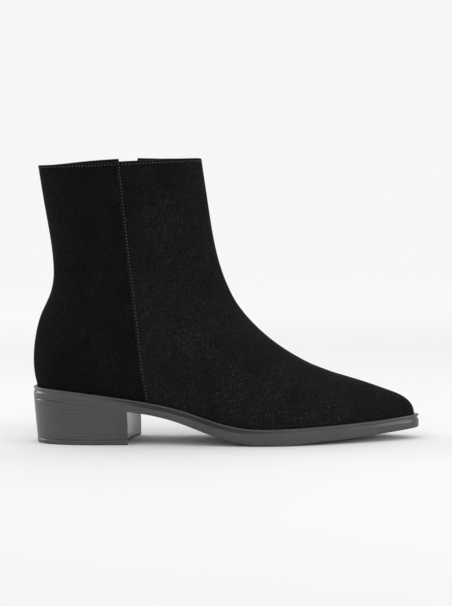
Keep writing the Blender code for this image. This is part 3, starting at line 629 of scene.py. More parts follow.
def behind_slit(x, z):
    """Negative behind the slit's rear edge, and everywhere past its foot."""
    line_x, run = (np.interp(-z, -ZIP[:, 1], values) for values in (ZIP[:, 0], ZIP_RUN))
    _, across = zip_at(run)
    step = (x - line_x) * across[..., 0]
    distance = run + (x - line_x) * across[..., 1]
    return np.where(distance > ZIP_FOOT, -1.0, step - slit_rear(distance))


def crossing(values):
    """Turn at which each row's evenly sampled values first fall to zero, or 1 where they stay above it."""
    below = values <= 0
    first = np.maximum(np.where(below.any(axis=1), below.argmax(axis=1), values.shape[1] - 1), 1)
    row = np.arange(len(values))
    before, after = values[row, first - 1], values[row, first]
    fall = np.where(before > after, before - after, 1.0)
    turn = (first - 1 + np.clip(before / fall, 0.0, 1.0)) / (values.shape[1] - 1)
    return np.where(below.any(axis=1), turn, 1.0)


def place(points):
    """Points over the origin, in metres."""
    return (np.asarray(points, float) - MIDDLE) * MM


# ---------------------------------------------------------------------------------------------------------------
# Meshes


class Grid:
    """Points of a surface, rows by columns, or a stack of like surfaces.

    wrap joins the last column to the first, flip turns the faces round. marks are values at the points, which
    materials read as attributes, and uv their places on the cloth in metres.
    """

    def __init__(self, points, wrap=False, flip=False, uv=None, **marks):
        points = np.asarray(points, float)
        self.points = points[None] if points.ndim == 3 else points
        self.wrap, self.flip = wrap, flip
        self.uv, self.marks = uv, marks

    def quads(self):
        """Faces as the numbers of four neighbouring points each."""
        many, rows, columns, _ = self.points.shape
        r = np.arange(rows - 1)[:, None]
        c = np.arange(columns if self.wrap else columns - 1)[None]
        n = (c + 1) % columns
        corners = (r * columns + c, r * columns + n, (r + 1) * columns + n, (r + 1) * columns + c)
        quads = np.stack(np.broadcast_arrays(*corners), axis=-1).reshape(-1, 4)
        if self.flip:
            quads = quads[:, ::-1]
        return (quads[None] + (np.arange(many) * rows * columns)[:, None, None]).reshape(-1, 4)


def add_piece(name, grids, material, body="boot", replaces=(), sharp=40.0, sheet=0.0):
    """Object from grids: doubles merged, smooth but for edges sharper than an angle, riding on a body.

    With sheet, an open surface gets that thickness in millimetres behind its face, so that it closes.
    """
    starts = np.cumsum([0] + [g.points[..., 0].size for g in grids])
    points = np.concatenate([g.points.reshape(-1, 3) for g in grids])
    quads = np.concatenate([g.quads() + start for g, start in zip(grids, starts)])
    mesh = bpy.data.meshes.new(name)
    mesh.from_pydata(place(points).tolist(), [], quads.tolist())
    for mark in sorted({key for g in grids for key in g.marks}):
        values = [np.broadcast_to(g.marks.get(mark, 0.0), g.points.shape[:-1]).ravel() for g in grids]
        layer = mesh.attributes.new(mark, "FLOAT", "POINT")
        layer.data.foreach_set("value", np.concatenate(values).astype(np.float32))
    if all(g.uv is not None for g in grids):
        spots = np.concatenate([np.broadcast_to(g.uv, (*g.points.shape[:-1], 2)).reshape(-1, 2) for g in grids])
        mesh.uv_layers.new(name="UVMap").data.foreach_set("uv", spots[quads.ravel()].astype(np.float32).ravel())
    bm = bmesh.new()
    bm.from_mesh(mesh)
    bmesh.ops.remove_doubles(bm, verts=bm.verts, dist=1e-6)
    bmesh.ops.dissolve_degenerate(bm, edges=bm.edges, dist=1e-7)
    bm.to_mesh(mesh)
    bm.free()
    mesh.polygons.foreach_set("use_smooth", np.ones(len(mesh.polygons), bool))
    mesh.set_sharp_from_angle(angle=math.radians(sharp))
    mesh.materials.append(material)
    piece = bpy.data.objects.new(name, mesh)
    bpy.context.scene.collection.objects.link(piece)
    if sheet:
        thickness = piece.modifiers.new("thickness", "SOLIDIFY")
        thickness.thickness, thickness.offset = sheet * MM, -1.0
    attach(piece, body)
    if replaces:
        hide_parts(*replaces)
    return piece


def threads(middle, outward, thick, sides=6):
    """Stack of round bars: a circle carried along each row of middle points, its radius following thick.

    middle is bars by points by 3. The circle is spanned by outward and the direction square to it and to the bar.
    """
    step = unit(np.gradient(middle, axis=1))
    beside = unit(np.cross(step, outward))
    turn = -2 * math.pi * np.arange(sides) / sides
    spoke = np.cos(turn)[:, None] * beside[:, :, None] + np.sin(turn)[:, None] * outward[:, :, None]
    return middle[:, :, None] + np.asarray(thick, float)[..., None, None] * spoke


def stitches(path, outward, pitch, length, radius):
    """Row of stitches along a path: each a thread bent to a low arch, one minus the square of its share, whose
    ends sink into the suede and close to a point.
    """
    run = lengths(path)
    count = int((run[-1] - length) // pitch) + 1
    first = (run[-1] - (count - 1) * pitch) / 2
    share = np.linspace(-1.0, 1.0, 7)
    at = first + pitch * np.arange(count)[:, None] + share * length / 2
    out = unit(np.stack([np.interp(at, run, outward[:, k]) for k in range(3)], axis=-1))
    middle = along(path, at) + out * (radius * (0.75 - 1.9 * share**2))[None, :, None]
    thick = radius * np.sqrt(1.0 - share**2)
    return Grid(threads(middle, out, np.broadcast_to(thick, at.shape)), wrap=True)


# ---------------------------------------------------------------------------------------------------------------
# Finishes


class Value:
    """A shader value in Python arithmetic: each operator adds one Math node."""

    def __init__(self, finish, socket):
        self.finish, self.socket = finish, socket

    def math(self, operation, left, right):
        return self.finish.node("ShaderNodeMath", {"operation": operation}, {0: left, 1: right})

    def __add__(self, other):
        return self.math("ADD", self, other)

    def __radd__(self, other):
        return self.math("ADD", other, self)

    def __sub__(self, other):
        return self.math("SUBTRACT", self, other)

    def __rsub__(self, other):
        return self.math("SUBTRACT", other, self)

    def __mul__(self, other):
        return self.math("MULTIPLY", self, other)

    def __rmul__(self, other):
        return self.math("MULTIPLY", other, self)

    def band(self, low, high):
        """Smooth step from 0 at low to 1 at high."""
        return self.finish.node("ShaderNodeMapRange", {"interpolation_type": "SMOOTHSTEP"},
                                {"Value": self, "From Min": low, "From Max": high})


class Finish:
    """A material in the making: a Principled shader with constants on its sockets, and the nodes that feed it."""

    def __init__(self, name, constants):
        self.material = bpy.data.materials.new(name)
        self.material.use_nodes = True
        self.tree = self.material.node_tree
        self.shader = self.tree.nodes["Principled BSDF"]
        self.feed(constants)

    def node(self, kind, settings=None, sockets=None, output=0):
        """New node: its settings are set first, then values or links go to its sockets. Returns one output."""
        made = self.tree.nodes.new(kind)
        for key, value in (settings or {}).items():
            setattr(made, key, value)
        self.connect(made, sockets or {})
        return Value(self, made.outputs[output])

    def connect(self, made, sockets):
        for key, value in sockets.items():
            if isinstance(value, Value):
                self.tree.links.new(value.socket, made.inputs[key])
            else:
                made.inputs[key].default_value = value

    def feed(self, sockets):
        """Values or links for the Principled shader's own sockets."""
        self.connect(self.shader, sockets)

    def spot(self):
        return self.node("ShaderNodeTexCoord", output="Object")

    def cloth(self):
        return self.node("ShaderNodeTexCoord", output="UV")

    def mark(self, name):
        return self.node("ShaderNodeAttribute", {"attribute_name": name}, output="Fac")

    def noise(self, size, detail=2.0, rough=0.5, stretch=(1.0, 1.0, 1.0), where=None):
        """Noise from 0 to 1 with features about size millimetres across, stretched along each axis."""
        scale = tuple(1.0 / s for s in stretch)
        spot = self.node("ShaderNodeVectorMath", {"operation": "MULTIPLY"}, {0: where or self.spot(), 1: scale})
        return self.node("ShaderNodeTexNoise", None,
                         {"Vector": spot, "Scale": 1.0 / (size * MM), "Detail": detail, "Roughness": rough})

    def bands(self, direction, pitch, where, wobble=0.0):
        """Sine bands from 0 to 1, one in every pitch millimetres."""
        return self.node("ShaderNodeTexWave", {"wave_type": "BANDS", "bands_direction": direction}, {
            "Vector": where, "Scale": WAVE_LENGTH / (pitch * MM), "Distortion": wobble, "Detail": 1.0})

    def mix(self, share, low, high):
        """Colour between two colours."""
        low, high = ((*c, 1.0) if isinstance(c, tuple) else c for c in (low, high))
        return self.node("ShaderNodeMix", {"data_type": "RGBA"}, {0: share, 6: low, 7: high}, 2)

    def bump(self, height, depth, strength=1.0):
        """Normal bent by a height from 0 to 1 that stands for depth millimetres."""
        self.feed({"Normal": self.node("ShaderNodeBump", None, {
            "Strength": strength, "Distance": depth * MM, "Height": height})})


def scaled(colour, share):
    return tuple(c * share for c in colour)


def suede_finish(colours):
    """Napped suede: short fibres as fine noise, brushed patches, a few lighter fibre tips, worn cut edges.

    The mark raised adds painted light (a brighter copy of the suede) and denser fibre tips; the mark edge is 0 on a
    cut edge.
    """
    f = Finish("napped_suede", {"Sheen Weight": 0.02, "Sheen Roughness": 0.35, "Sheen Tint": (0.6, 0.58, 0.56, 1.0),
                                "Specular IOR Level": 0.04})
    nap = f.noise(1.5, detail=4.0, rough=0.75)
    fibre = f.noise(0.28, rough=0.6, stretch=(1.0, 1.0, 1.6))
    patch = f.noise(26.0, detail=3.0, rough=0.55, stretch=(1.0, 1.0, 1.5))
    lie = nap.band(0.3, 0.7) * 0.58 + patch * 0.42
    dark, light = tuple(colours.suede_dark), tuple(colours.suede_light)
    # painted light: a copy of the suede 1.6 times brighter, for the light that falls on the vamp
    flat, painted_lit = (f.mix(lie, scaled(dark, share), scaled(light, share)) for share in (1.0, 1.6))
    raised = f.mark("raised")
    base = f.mix(raised, flat, painted_lit)
    tips = f.noise(1.1, rough=0.55).band(0.56, 0.72) * patch.band(0.3, 0.62) * (0.35 + raised * 0.6)
    edge = 1 - f.mark("edge").band(0.25, 1.0)
    f.feed({"Base Color": f.mix(edge * 0.55 + tips, base, tuple(colours.suede_tip)),
            "Roughness": 0.82 + nap * 0.16})
    f.bump(nap * 0.6 + fibre * 0.4, 0.35, 0.7)
    return f.material


def thread_finish(colours):
    """Waxed thread: fine twist in colour and bump."""
    f = Finish("stitch_thread", {"Specular IOR Level": 0.4})
    twist = f.noise(0.3, detail=1.0, stretch=(1.0, 1.0, 0.6))
    f.feed({"Base Color": f.mix(twist, scaled(colours.thread, 0.7), tuple(colours.thread)),
            "Roughness": 0.5 + twist * 0.2})
    f.bump(twist, 0.08)
    return f.material


def cloth_finish(name, colour, pitch, rough):
    """Woven cloth: two sets of threads, as sines of the distance along and across it, in colour and bump."""
    f = Finish(name, {"Sheen Weight": 0.15, "Specular IOR Level": 0.2})
    across, down = (f.bands(direction, pitch, f.cloth(), 0.6) for direction in "XY")
    woven = across * 0.5 + down * 0.5
    uneven = f.noise(14.0, detail=3.0, rough=0.6)
    f.feed({"Base Color": f.mix(woven * 0.6 + uneven * 0.4, scaled(colour, 0.6), scaled(colour, 1.25)),
            "Roughness": rough + uneven * 0.08})
    f.bump(woven, 0.12, 0.8)
    return f.material


def sock_finish(colour):
    """Insole sock: soft knit, uneven in tone where the foot rests."""
    f = Finish("sock_cloth", {"Sheen Weight": 0.2, "Specular IOR Level": 0.2})
    knit = f.noise(0.7, stretch=(1.0, 2.0, 1.0))
    rubbed = f.noise(35.0)
    f.feed({"Base Color": f.mix(knit * 0.5 + rubbed * 0.5, scaled(colour, 0.5), scaled(colour, 0.95)),
            "Roughness": 0.85 + knit * 0.1})
    f.bump(knit, 0.15, 0.7)
    return f.material


def rubber_finish(colours):
    """Moulded sole rubber: satin, faint drawn streaks along the sole, fine pores, ribbed where it is tread.

    The mark groove paints shade into the coves and into the groove over the heel's back; the mark smooth makes the
    heel's breast glossier.
    """
    f = Finish("moulded_rubber", {"Specular IOR Level": 0.6})
    streak = f.noise(2.2, detail=3.0, rough=0.6, stretch=(14.0, 14.0, 0.5))
    pores = f.noise(0.5)
    cloud = f.noise(20.0)
    ribs = f.bands("DIAGONAL", 4.0, f.spot()).band(0.25, 0.5) * f.mark("tread")
    shade = streak.band(0.3, 0.7) * 0.35 + cloud.band(0.3, 0.7) * 0.4 + pores * 0.25
    face = f.mix(shade - ribs * 0.3, scaled(colours.rubber, 0.74), scaled(colours.rubber, 1.26))
    # painted shade: where the mark groove is high, the colour falls to 0.3 of the rubber's
    f.feed({"Base Color": f.mix(f.mark("groove") * 0.6, face, scaled(colours.rubber, 0.3)),
            "Roughness": 0.2 + streak * 0.12 + pores * 0.06 - f.mark("smooth") * 0.1})
    f.bump(streak * 0.02 + pores * 0.05 + ribs, 0.6, 0.8)
    return f.material


def nylon_finish(colours):
    """Moulded zip teeth: smooth nylon with rubbed crowns."""
    f = Finish("tooth_nylon", {"Specular IOR Level": 0.5, "Coat Weight": 0.15, "Coat Roughness": 0.2})
    rub = f.noise(1.6)
    f.feed({"Base Color": f.mix(rub, scaled(colours.nylon, 0.75), scaled(colours.nylon, 1.2)),
            "Roughness": 0.3 + rub * 0.15})
    f.bump(rub, 0.04)
    return f.material


def metal_finish(colours):
    """Gunmetal casting: black faces, highlights painted on rims, shoulders and the eye's top where the mark black
    is lower, and a fine drawn grain.
    """
    f = Finish("gunmetal", {"Metallic": 1.0})
    grain = f.noise(0.6, stretch=(1.0, 1.0, 6.0))
    black = f.mark("black")
    # where the mark black is low, the colour is that of a painted highlight
    f.feed({"Base Color": f.mix(black * 0.95 + grain * 0.05, tuple(colours.metal), scaled(colours.metal, 0.04)),
            "Roughness": 0.2 + grain * 0.12 + black * 0.12})
    f.bump(grain, 0.02)
    return f.material


def floor_finish(colour):
    """Matt backdrop paper with a barely uneven tone, painted darker in the middle of the floor and lighter
    outwards, against the soft boxes' pool of light.
    """
    f = Finish("backdrop_paper", {"Specular IOR Level": 0.1})
    tone = f.noise(300.0)
    far = f.node("ShaderNodeVectorMath", {"operation": "LENGTH"}, {0: f.spot()}, "Value").band(0.5, 1.6)
    f.feed({"Base Color": f.mix(far * 0.95 + tone * 0.05, scaled(colour, 0.9), scaled(colour, 1.045)),
            "Roughness": 0.9 + tone * 0.05})
    return f.material


# ---------------------------------------------------------------------------------------------------------------
# Sizes and colours that a user may change


def length_of(name, description, default):
    return FloatProperty(name=name, description=description, default=default, min=0.0, max=0.02, unit="LENGTH",
                         precision=5)


def colour_of(name, description, default):
    return FloatVectorProperty(name=name, description=description, default=default, min=0.0, max=1.0, size=3,
                               subtype="COLOR")


class BootSizes(bpy.types.PropertyGroup):
    lap: length_of("Lap", "How far the vamp stands proud of the rear quarter", 0.0008)
    fold: length_of("Collar fold", "Thickness of the folded collar edge", 0.0021)
    stitch_pitch: length_of("Stitch pitch", "Distance from stitch to stitch", 0.00235)
    stitch_length: length_of("Stitch length", "Length of thread that shows in a stitch", 0.0014)
    thread: length_of("Thread radius", "Half the thickness of the sewing thread", 0.00034)
    first_row: length_of("First stitch row", "Distance of the first stitch row from the edge", 0.0015)
    second_row: length_of("Second stitch row", "Distance of the second row along the zip", 0.0043)
    collar_row: length_of("Collar row", "Distance of the stitch row under the collar fold", 0.0010)
    groove: length_of("Stitch groove", "How deep a stitch row pulls into the suede", 0.0002)
    tooth_pitch: length_of("Tooth pitch", "Distance from zip tooth to zip tooth on one tape", 0.0016)


class BootColours(bpy.types.PropertyGroup):
    suede_dark: colour_of("Suede, brushed dark", "Suede with its nap laid down", (0.0010, 0.0009, 0.0009))
    suede_light: colour_of("Suede, brushed light", "Suede with its nap raised", (0.0091, 0.0086, 0.0086))
    suede_tip: colour_of("Suede tips", "Lighter fibre tips and cut edges", (0.034, 0.033, 0.032))
    thread: colour_of("Thread", "Sewing thread", (0.055, 0.055, 0.0565))
    lining: colour_of("Lining", "Textile lining and sock", (0.30, 0.30, 0.305))
    rubber: colour_of("Sole", "Rubber of sole, heel and top lift", (0.0385, 0.038, 0.041))
    tape: colour_of("Zip tape", "Woven tape of the zip", (0.010, 0.010, 0.010))
    nylon: colour_of("Zip teeth", "Nylon teeth of the zip", (0.092, 0.092, 0.094))
    # colour of the highlights painted on the slider's and the pull tab's rims; their faces get 0.04 of it
    metal: colour_of("Slider", "Metal of slider and pull tab", (0.2, 0.2, 0.205))


class BootStage(bpy.types.PropertyGroup):
    floor: colour_of("Floor", "Floor and backdrop", (0.94, 0.94, 0.94))
    world: FloatProperty(name="Room light", description="Strength of the even light in the room", default=0.95,
                         min=0.0, max=5.0)
    key: FloatProperty(name="Soft boxes", description="Strength of the soft boxes", default=1.0, min=0.0, max=10.0)
    lens: FloatProperty(name="Lens", description="Focal length of the camera", default=107.0, min=20.0, max=300.0)


# ---------------------------------------------------------------------------------------------------------------
# Upper


def columns(rows, row, edge, far, side, count):
    """Turns of a panel's columns from its edge to a far turn: first at set distances from the edge, then evenly.

    Also returns the distances from the edge in millimetres. On short rows the set distances shrink.
    """
    way = np.sign(far - edge)
    probe = np.clip(edge + 0.01 * way, 0.0, 1.0)
    speed = np.linalg.norm(rows.point(row, probe, side) - rows.point(row, edge, side), axis=-1)
    speed = speed / np.maximum(np.abs(probe - edge), 1e-6)
    length = speed * np.abs(far - edge)
    spots = EDGE_SPOTS * np.minimum(1.0, length / (2.5 * EDGE_SPOTS[-1]))[:, None]
    near = edge[:, None] + way[:, None] * spots / np.maximum(speed, 1e-6)[:, None]
    rest = near[:, -1:] + (far[:, None] - near[:, -1:]) * np.linspace(0.0, 1.0, count + 1)[1:]
    distance = np.hstack((spots, spots[:, -1:] + np.abs(rest - near[:, -1:]) * speed[:, None]))
    return np.clip(np.hstack((near, rest)), 0.0, 1.0), distance


def grooves(distance, lines, depth):
    """Depth of the soft troughs that stitch rows pull into the suede at set distances from an edge."""
    return sum(depth * np.exp(-(((distance - line) / 0.55) ** 2)) for line in lines)


def cut_edge(thick):
    """Steps out from a panel's end and down from its face over a cut edge: a quarter circle, then straight down."""
    turn = np.radians((30.0, 60.0, 90.0))
    out = EDGE_RADIUS * np.append(np.sin(turn), 1.0)
    drop = np.append(EDGE_RADIUS * (1 - np.cos(turn)), thick)
    return out[:, None, None], drop[:, None, None]


def turned_in(points, normals, thick, weight, last=False):
    """Panel with a cut edge carried along its first or last column, its normals, and the edge mark.

    weight is 1 on rows where the edge is free and 0 where it goes into the sole.
    """
    edge, inner = (-1, -2) if last else (0, 1)
    out, drop = cut_edge(thick)
    step = unit(points[:, edge] - points[:, inner])
    extra = np.moveaxis(points[:, edge] + out * weight[:, None] * step - drop * normals[:, edge], 0, 1)
    marks = np.full(points.shape[:2], PLAIN), np.where(weight[:, None] > 0.5, np.zeros(extra.shape[:2]), PLAIN)
    beside = normals[:, edge, None].repeat(EDGE_STEPS, axis=1)
    if last:
        return np.hstack((points, extra)), np.hstack((normals, beside)), np.hstack(marks)
    return np.hstack((extra[:, ::-1], points)), np.hstack((beside, normals)), np.hstack(marks[::-1])


def collared(points, normals, fold, edge):
    """Panel with its first row folded over at the collar: a half circle, then straight down inside.

    Columns of a cut edge fold less by the depth that they already have. Also returns the edge mark.
    """
    up = unit(points[0] - points[2])
    count = points.shape[1]
    face = np.clip(np.arange(count), EDGE_STEPS * (edge[0, 0] == 0), count - 1 - EDGE_STEPS * (edge[0, -1] == 0))
    depth = np.sum((points[0, face] - points[0]) * normals[0], axis=-1)
    fold = np.maximum(fold - depth, THIN_FOLD)[:, None]
    turn = np.radians(np.linspace(0.0, 180.0, 9))[1:, None, None]
    rolled = points[0] + fold / 2 * (np.sin(turn) * up - (1 - np.cos(turn)) * normals[0])
    inside = points[0] - COLLAR_INSIDE[:, None, None] * up - fold * normals[0]
    extra = np.concatenate((rolled, inside))[::-1]
    crown = np.append(np.abs(turn[:, 0, 0] - math.pi / 2) / (math.pi / 2), np.ones(len(inside)))[::-1]
    mark = (0.85 * crown)[:, None].repeat(count, axis=1)
    return np.concatenate((extra, points)), np.concatenate((mark, edge))


def crease(points):
    """How far the upper is pushed in by soft creases: a bell across each side view segment, fading to its ends."""
    total = np.zeros(points.shape[:-1])
    for x0, z0, x1, z1, wide, deep in CREASES:
        step = np.array((x1 - x0, z1 - z0))
        away = points[..., (0, 2)] - np.array((x0, z0))
        share = away @ step / (step @ step)
        off = np.linalg.norm(away - np.clip(share, 0.0, 1.0)[..., None] * step, axis=-1)
        fade = ease(1.25 - np.abs(share - 0.5) * 1.6)
        total = total + deep * np.exp(-((off / wide) ** 2)) * fade
    return total


class Upper:
    """Numbers that the panels share: rows, where the seams cross them, and where panels end on the hem."""

    def __init__(self, skin):
        self.rows = Rows(skin)
        hem = from_polar(self.rows.ends, np.interp(self.rows.ends, *skin.ends))
        number = np.arange(self.rows.last + 1)
        past = slice(self.rows.heel, None)
        self.seam_row, self.vamp_row = (
            float(np.interp(0.0, ahead_of(line, *hem)[past], number[past])) for line in (SEAM, SLIT_FRONT))
        self.gusset_row = self.rows.row_of(GUSSET_ANGLE)
        below = number[number > COLLAR_ROWS[-1]]
        self.all_rows = np.unique(np.concatenate((COLLAR_ROWS, below, (self.seam_row, self.vamp_row))))

    def sampled(self, row, side):
        """x and z of rows at evenly spaced turns."""
        points = self.rows.point(row[:, None], np.linspace(0.0, 1.0, 500)[None], side)
        return points[..., 0], points[..., 2]

    def seam_turn(self, row):
        return crossing(ahead_of(SEAM, *self.sampled(row, -1)))

    def front_turn(self, row):
        return crossing(ahead_of(SLIT_FRONT, *self.sampled(row, 1)))

    def rear_turn(self, row):
        x, z = self.sampled(row, 1)
        return crossing(np.where(ahead_of(SLIT_FRONT, x, z) > 0, 1.0, behind_slit(x, z)))

    def half(self, row, edge, far, side, count):
        """Points, normals and distances from the edge of one side of a panel, edge first."""
        turn, distance = columns(self.rows, row, edge, far, side, count)
        grid = row[:, None], turn, side
        return self.rows.point(*grid), self.rows.normal(*grid), distance


def sunk_in(points, sizes):
    """Depth of the trough under the collar's stitch row, by the distance down each column, and of the creases."""
    return grooves(lengths(points), (sizes.collar_row / MM,), sizes.groove / MM) + crease(points)


def build_vamp(upper, sizes, material):
    """Vamp and front of the shaft: from the outer seam over the instep to the zip and the edge below it."""
    row = upper.all_rows
    instep = np.zeros_like(row)
    first, second, deep = sizes.first_row / MM, sizes.second_row / MM, sizes.groove / MM
    outer, outer_n, outer_d = upper.half(row, upper.seam_turn(row), instep, -1, 46)
    inner, inner_n, inner_d = upper.half(row, upper.front_turn(row), instep, 1, 46)
    on_seam, on_zip = (row <= upper.seam_row).astype(float), (row <= upper.vamp_row).astype(float)
    sunk = np.hstack((grooves(outer_d, (first,), deep) * on_seam[:, None],
                      (grooves(inner_d, (first, second), deep) * on_zip[:, None])[:, -2::-1]))
    middle = unit(outer_n[:, -1] + inner_n[:, -1])
    points = np.hstack((outer, inner[:, -2::-1]))
    normals = np.hstack((outer_n[:, :-1], middle[:, None], inner_n[:, -2::-1]))
    points = points - (sunk + sunk_in(points, sizes))[..., None] * normals
    points, normals, edge = turned_in(points, normals, sizes.lap / MM + SEAM_SINK, on_seam)
    points, normals, zip_edge = turned_in(points, normals, VAMP_CUT, on_zip, last=True)
    edge = np.hstack((edge, zip_edge[:, edge.shape[1]:]))
    points, edge = collared(points, normals, sizes.fold / MM, edge)
    # painted light on the vamp, fading out up the shaft
    raised = 1 - SHAFT_PAINTED_LIGHT_AND_TIPS_LOSS * grow(points[..., 2], *SHAFT_ZONE)
    grids = [Grid(points, flip=True, edge=edge, raised=raised)]
    return add_piece("vamp", grids, material, replaces=("upper",), sheet=SHEET)


def build_quarter(upper, sizes, material):
    """Rear quarter: from under the vamp at the outer seam, round the back, to the zip and the panel below it."""
    lap, deep = sizes.lap / MM, sizes.groove / MM
    zip_rows = sizes.first_row / MM, sizes.second_row / MM
    ends = upper.seam_row, upper.gusset_row
    row, row_2 = (np.append(upper.all_rows[upper.all_rows < end], end) for end in ends)
    under_vamp = np.maximum(upper.seam_turn(row) - UNDERLAP / TURN_LENGTH, 0.0)
    outer, outer_n, _ = upper.half(row, under_vamp, np.ones_like(row), -1, 30)
    inner, inner_n, inner_d = upper.half(row_2, upper.rear_turn(row_2), np.ones_like(row_2), 1, 30)
    shaft = np.arange(min(len(row), len(row_2)))
    shaft = shaft[upper.all_rows[shaft] < upper.rows.heel]
    outer_n[shaft, -1] = inner_n[shaft, -1] = unit(outer_n[shaft, -1] + inner_n[shaft, -1])
    grids = []
    for points, normals, sunk, inner_side in (
        (outer, outer_n, lap, False),
        (inner, inner_n, lap + grooves(inner_d, zip_rows, deep), True),
    ):
        points = points - (sunk + sunk_in(points, sizes))[..., None] * normals
        edge = np.full(points.shape[:2], PLAIN)
        if inner_side:
            points, normals, edge = turned_in(points, normals, QUARTER_CUT, np.ones(len(points)))
            out, drop = cut_edge(QUARTER_HEM_CUT)
            down = unit(points[-1] - points[-3])
            points = np.concatenate((points, points[-1] + out * down - drop * normals[-1]))
            edge = np.concatenate((edge, np.zeros((EDGE_STEPS, edge.shape[1]))))
        points, edge = collared(points, normals, sizes.fold / MM - lap, edge)
        # no painted light on the rear quarter
        grids.append(Grid(points, flip=inner_side, edge=edge, raised=0.0))
    return add_piece("rear_quarter", grids, material, sheet=SHEET)


def build_gusset(upper, material):
    """Small panel under the zip, lapped by the vamp in front and by the rear quarter behind."""
    rows = upper.all_rows
    top = upper.gusset_row - 2.0
    below = rows[(rows > top + 0.5) & (rows < upper.vamp_row)]
    row = np.concatenate(([top], below, [upper.vamp_row]))
    edge = upper.rear_turn(row)
    under_vamp = edge <= upper.front_turn(row) + 1e-6
    edge = np.where(under_vamp, np.maximum(edge - UNDERLAP / TURN_LENGTH, 0.0), edge)
    points, normals, _ = upper.half(row, edge, np.ones_like(row), 1, 16)
    points = points - GUSSET_INSET * normals
    points, _, mark = turned_in(points, normals, GUSSET_CUT, (~under_vamp).astype(float))
    # part of the vamp's painted light on the panel under the zip
    grids = [Grid(points, flip=True, edge=mark, raised=GUSSET_PAINTED_LIGHT_AND_TIPS)]
    return add_piece("under_zip_panel", grids, material, sheet=SHEET)


def build_lining(material):
    """Textile lining: the inner face of the wall, from the collar's fold down to the insole, open along the zip."""
    inside = Upper(Skin(WALL + LINING_GAP))
    heel, last = inside.rows.heel, inside.rows.last
    row = np.concatenate((np.linspace(LINING_TOP, heel, 40), np.arange(heel + 1, last + 1)))
    turns = np.linspace(0.0, 1.0, 40)[None]
    clear = LINING_CLEAR / TURN_LENGTH
    front = np.maximum(inside.front_turn(row) - clear, 0.02)[:, None]
    rear = np.minimum(inside.rear_turn(row) + clear, 1.0)[:, None]
    outer = inside.rows.point(row[:, None], turns[:, ::-1], -1)
    inner = inside.rows.point(row[:, None], front * turns, 1)
    behind = inside.rows.point(row[:, None], rear + (1 - rear) * turns, 1)[rear[:, 0] < 0.995]
    grids = []
    for points in (np.hstack((outer, inner[:, 1:])), behind):
        grids.append(Grid(points, uv=np.stack((lengths(points, 1), lengths(points)), axis=-1) * MM))
    return add_piece("lining", grids, material, sheet=SHEET)


# ---------------------------------------------------------------------------------------------------------------
# Stitching


def above_sole(line):
    """The part of a side view line that stays over the sole's rim."""
    return line[line[:, 1] > rim_top(line[:, 0]) + RIM_CLEAR]


def collar_path(upper, sizes, turns, side, inset):
    """Line under the collar at a set distance down from its edge, and its outward directions."""
    row = np.zeros_like(turns)
    top, lower = upper.rows.point(row, turns, side), upper.rows.point(row + 2.5, turns, side)
    outward = upper.rows.normal(row + 1.2, turns, side)
    return top + sizes.collar_row / MM * unit(lower - top) - inset * outward, outward


def build_stitching(upper, sizes, material):
    """All rows of stitches: outer seam, collar, both sides of the zip, its foot, and the panel under it."""
    lap, groove = sizes.lap / MM, sizes.groove / MM
    first, second = sizes.first_row / MM, sizes.second_row / MM
    paths = [laid(above_sole(moved(SEAM, first)[SEAM[:, 1] < STITCH_TOP]), -1, groove)]
    for out in (first, second):
        line = above_sole(moved(SLIT_FRONT, out))
        paths.append(laid(line[line[:, 1] < STITCH_TOP], 1, groove))
        run = np.linspace(STITCH_START, ZIP_FOOT - SLIT_END, 120)
        middle, across = zip_at(run)
        rear = middle - (slit_half(run) + out)[:, None] * across
        deep = np.where(polar(*rear.T)[0] > GUSSET_ANGLE, GUSSET_INSET, lap) + groove
        paths.append(laid(rear, 1, deep))
        run = np.linspace(ZIP_FOOT - SLIT_END, ZIP_FOOT, 24)
        middle, across = zip_at(run)
        foot = moved(middle + slit_rear(run)[:, None] * across, -out)
        paths.append(laid(foot, 1, GUSSET_INSET))
    far = np.linspace(*(polar(*spot)[1] for spot in GUSSET_STITCHES), 60)
    paths.append(laid(np.column_stack(from_polar(GUSSET_ANGLE - first / far, far)), 1, lap + groove))
    collar = np.zeros(1)
    seam, front, rear = (float(turn(collar)[0]) for turn in (upper.seam_turn, upper.front_turn, upper.rear_turn))
    for ends, side, inset in (
        ((seam - EDGE_TURN, 0.0), -1, groove), ((0.0, front - EDGE_TURN), 1, groove),
        ((seam + LAP_TURN, 1.0), -1, lap + groove), ((1.0, rear + EDGE_TURN), 1, lap + groove),
    ):
        paths.append(collar_path(upper, sizes, np.linspace(*ends, 80), side, inset))
    thread = sizes.stitch_pitch / MM, sizes.stitch_length / MM, sizes.thread / MM
    return add_piece("stitching", [stitches(*path, *thread) for path in paths], material)


# ---------------------------------------------------------------------------------------------------------------
# Sole


def across_ring(points, count):
    """Grid that fills a ring from its outer half to its inner half."""
    outer = points[:RING_POINTS]
    inner = np.vstack((points[:1], points[RING_POINTS:][::-1], outer[-1:]))
    share = np.linspace(0.0, 1.0, count)[None, :, None]
    return outer[:, None] + (inner - outer)[:, None] * share


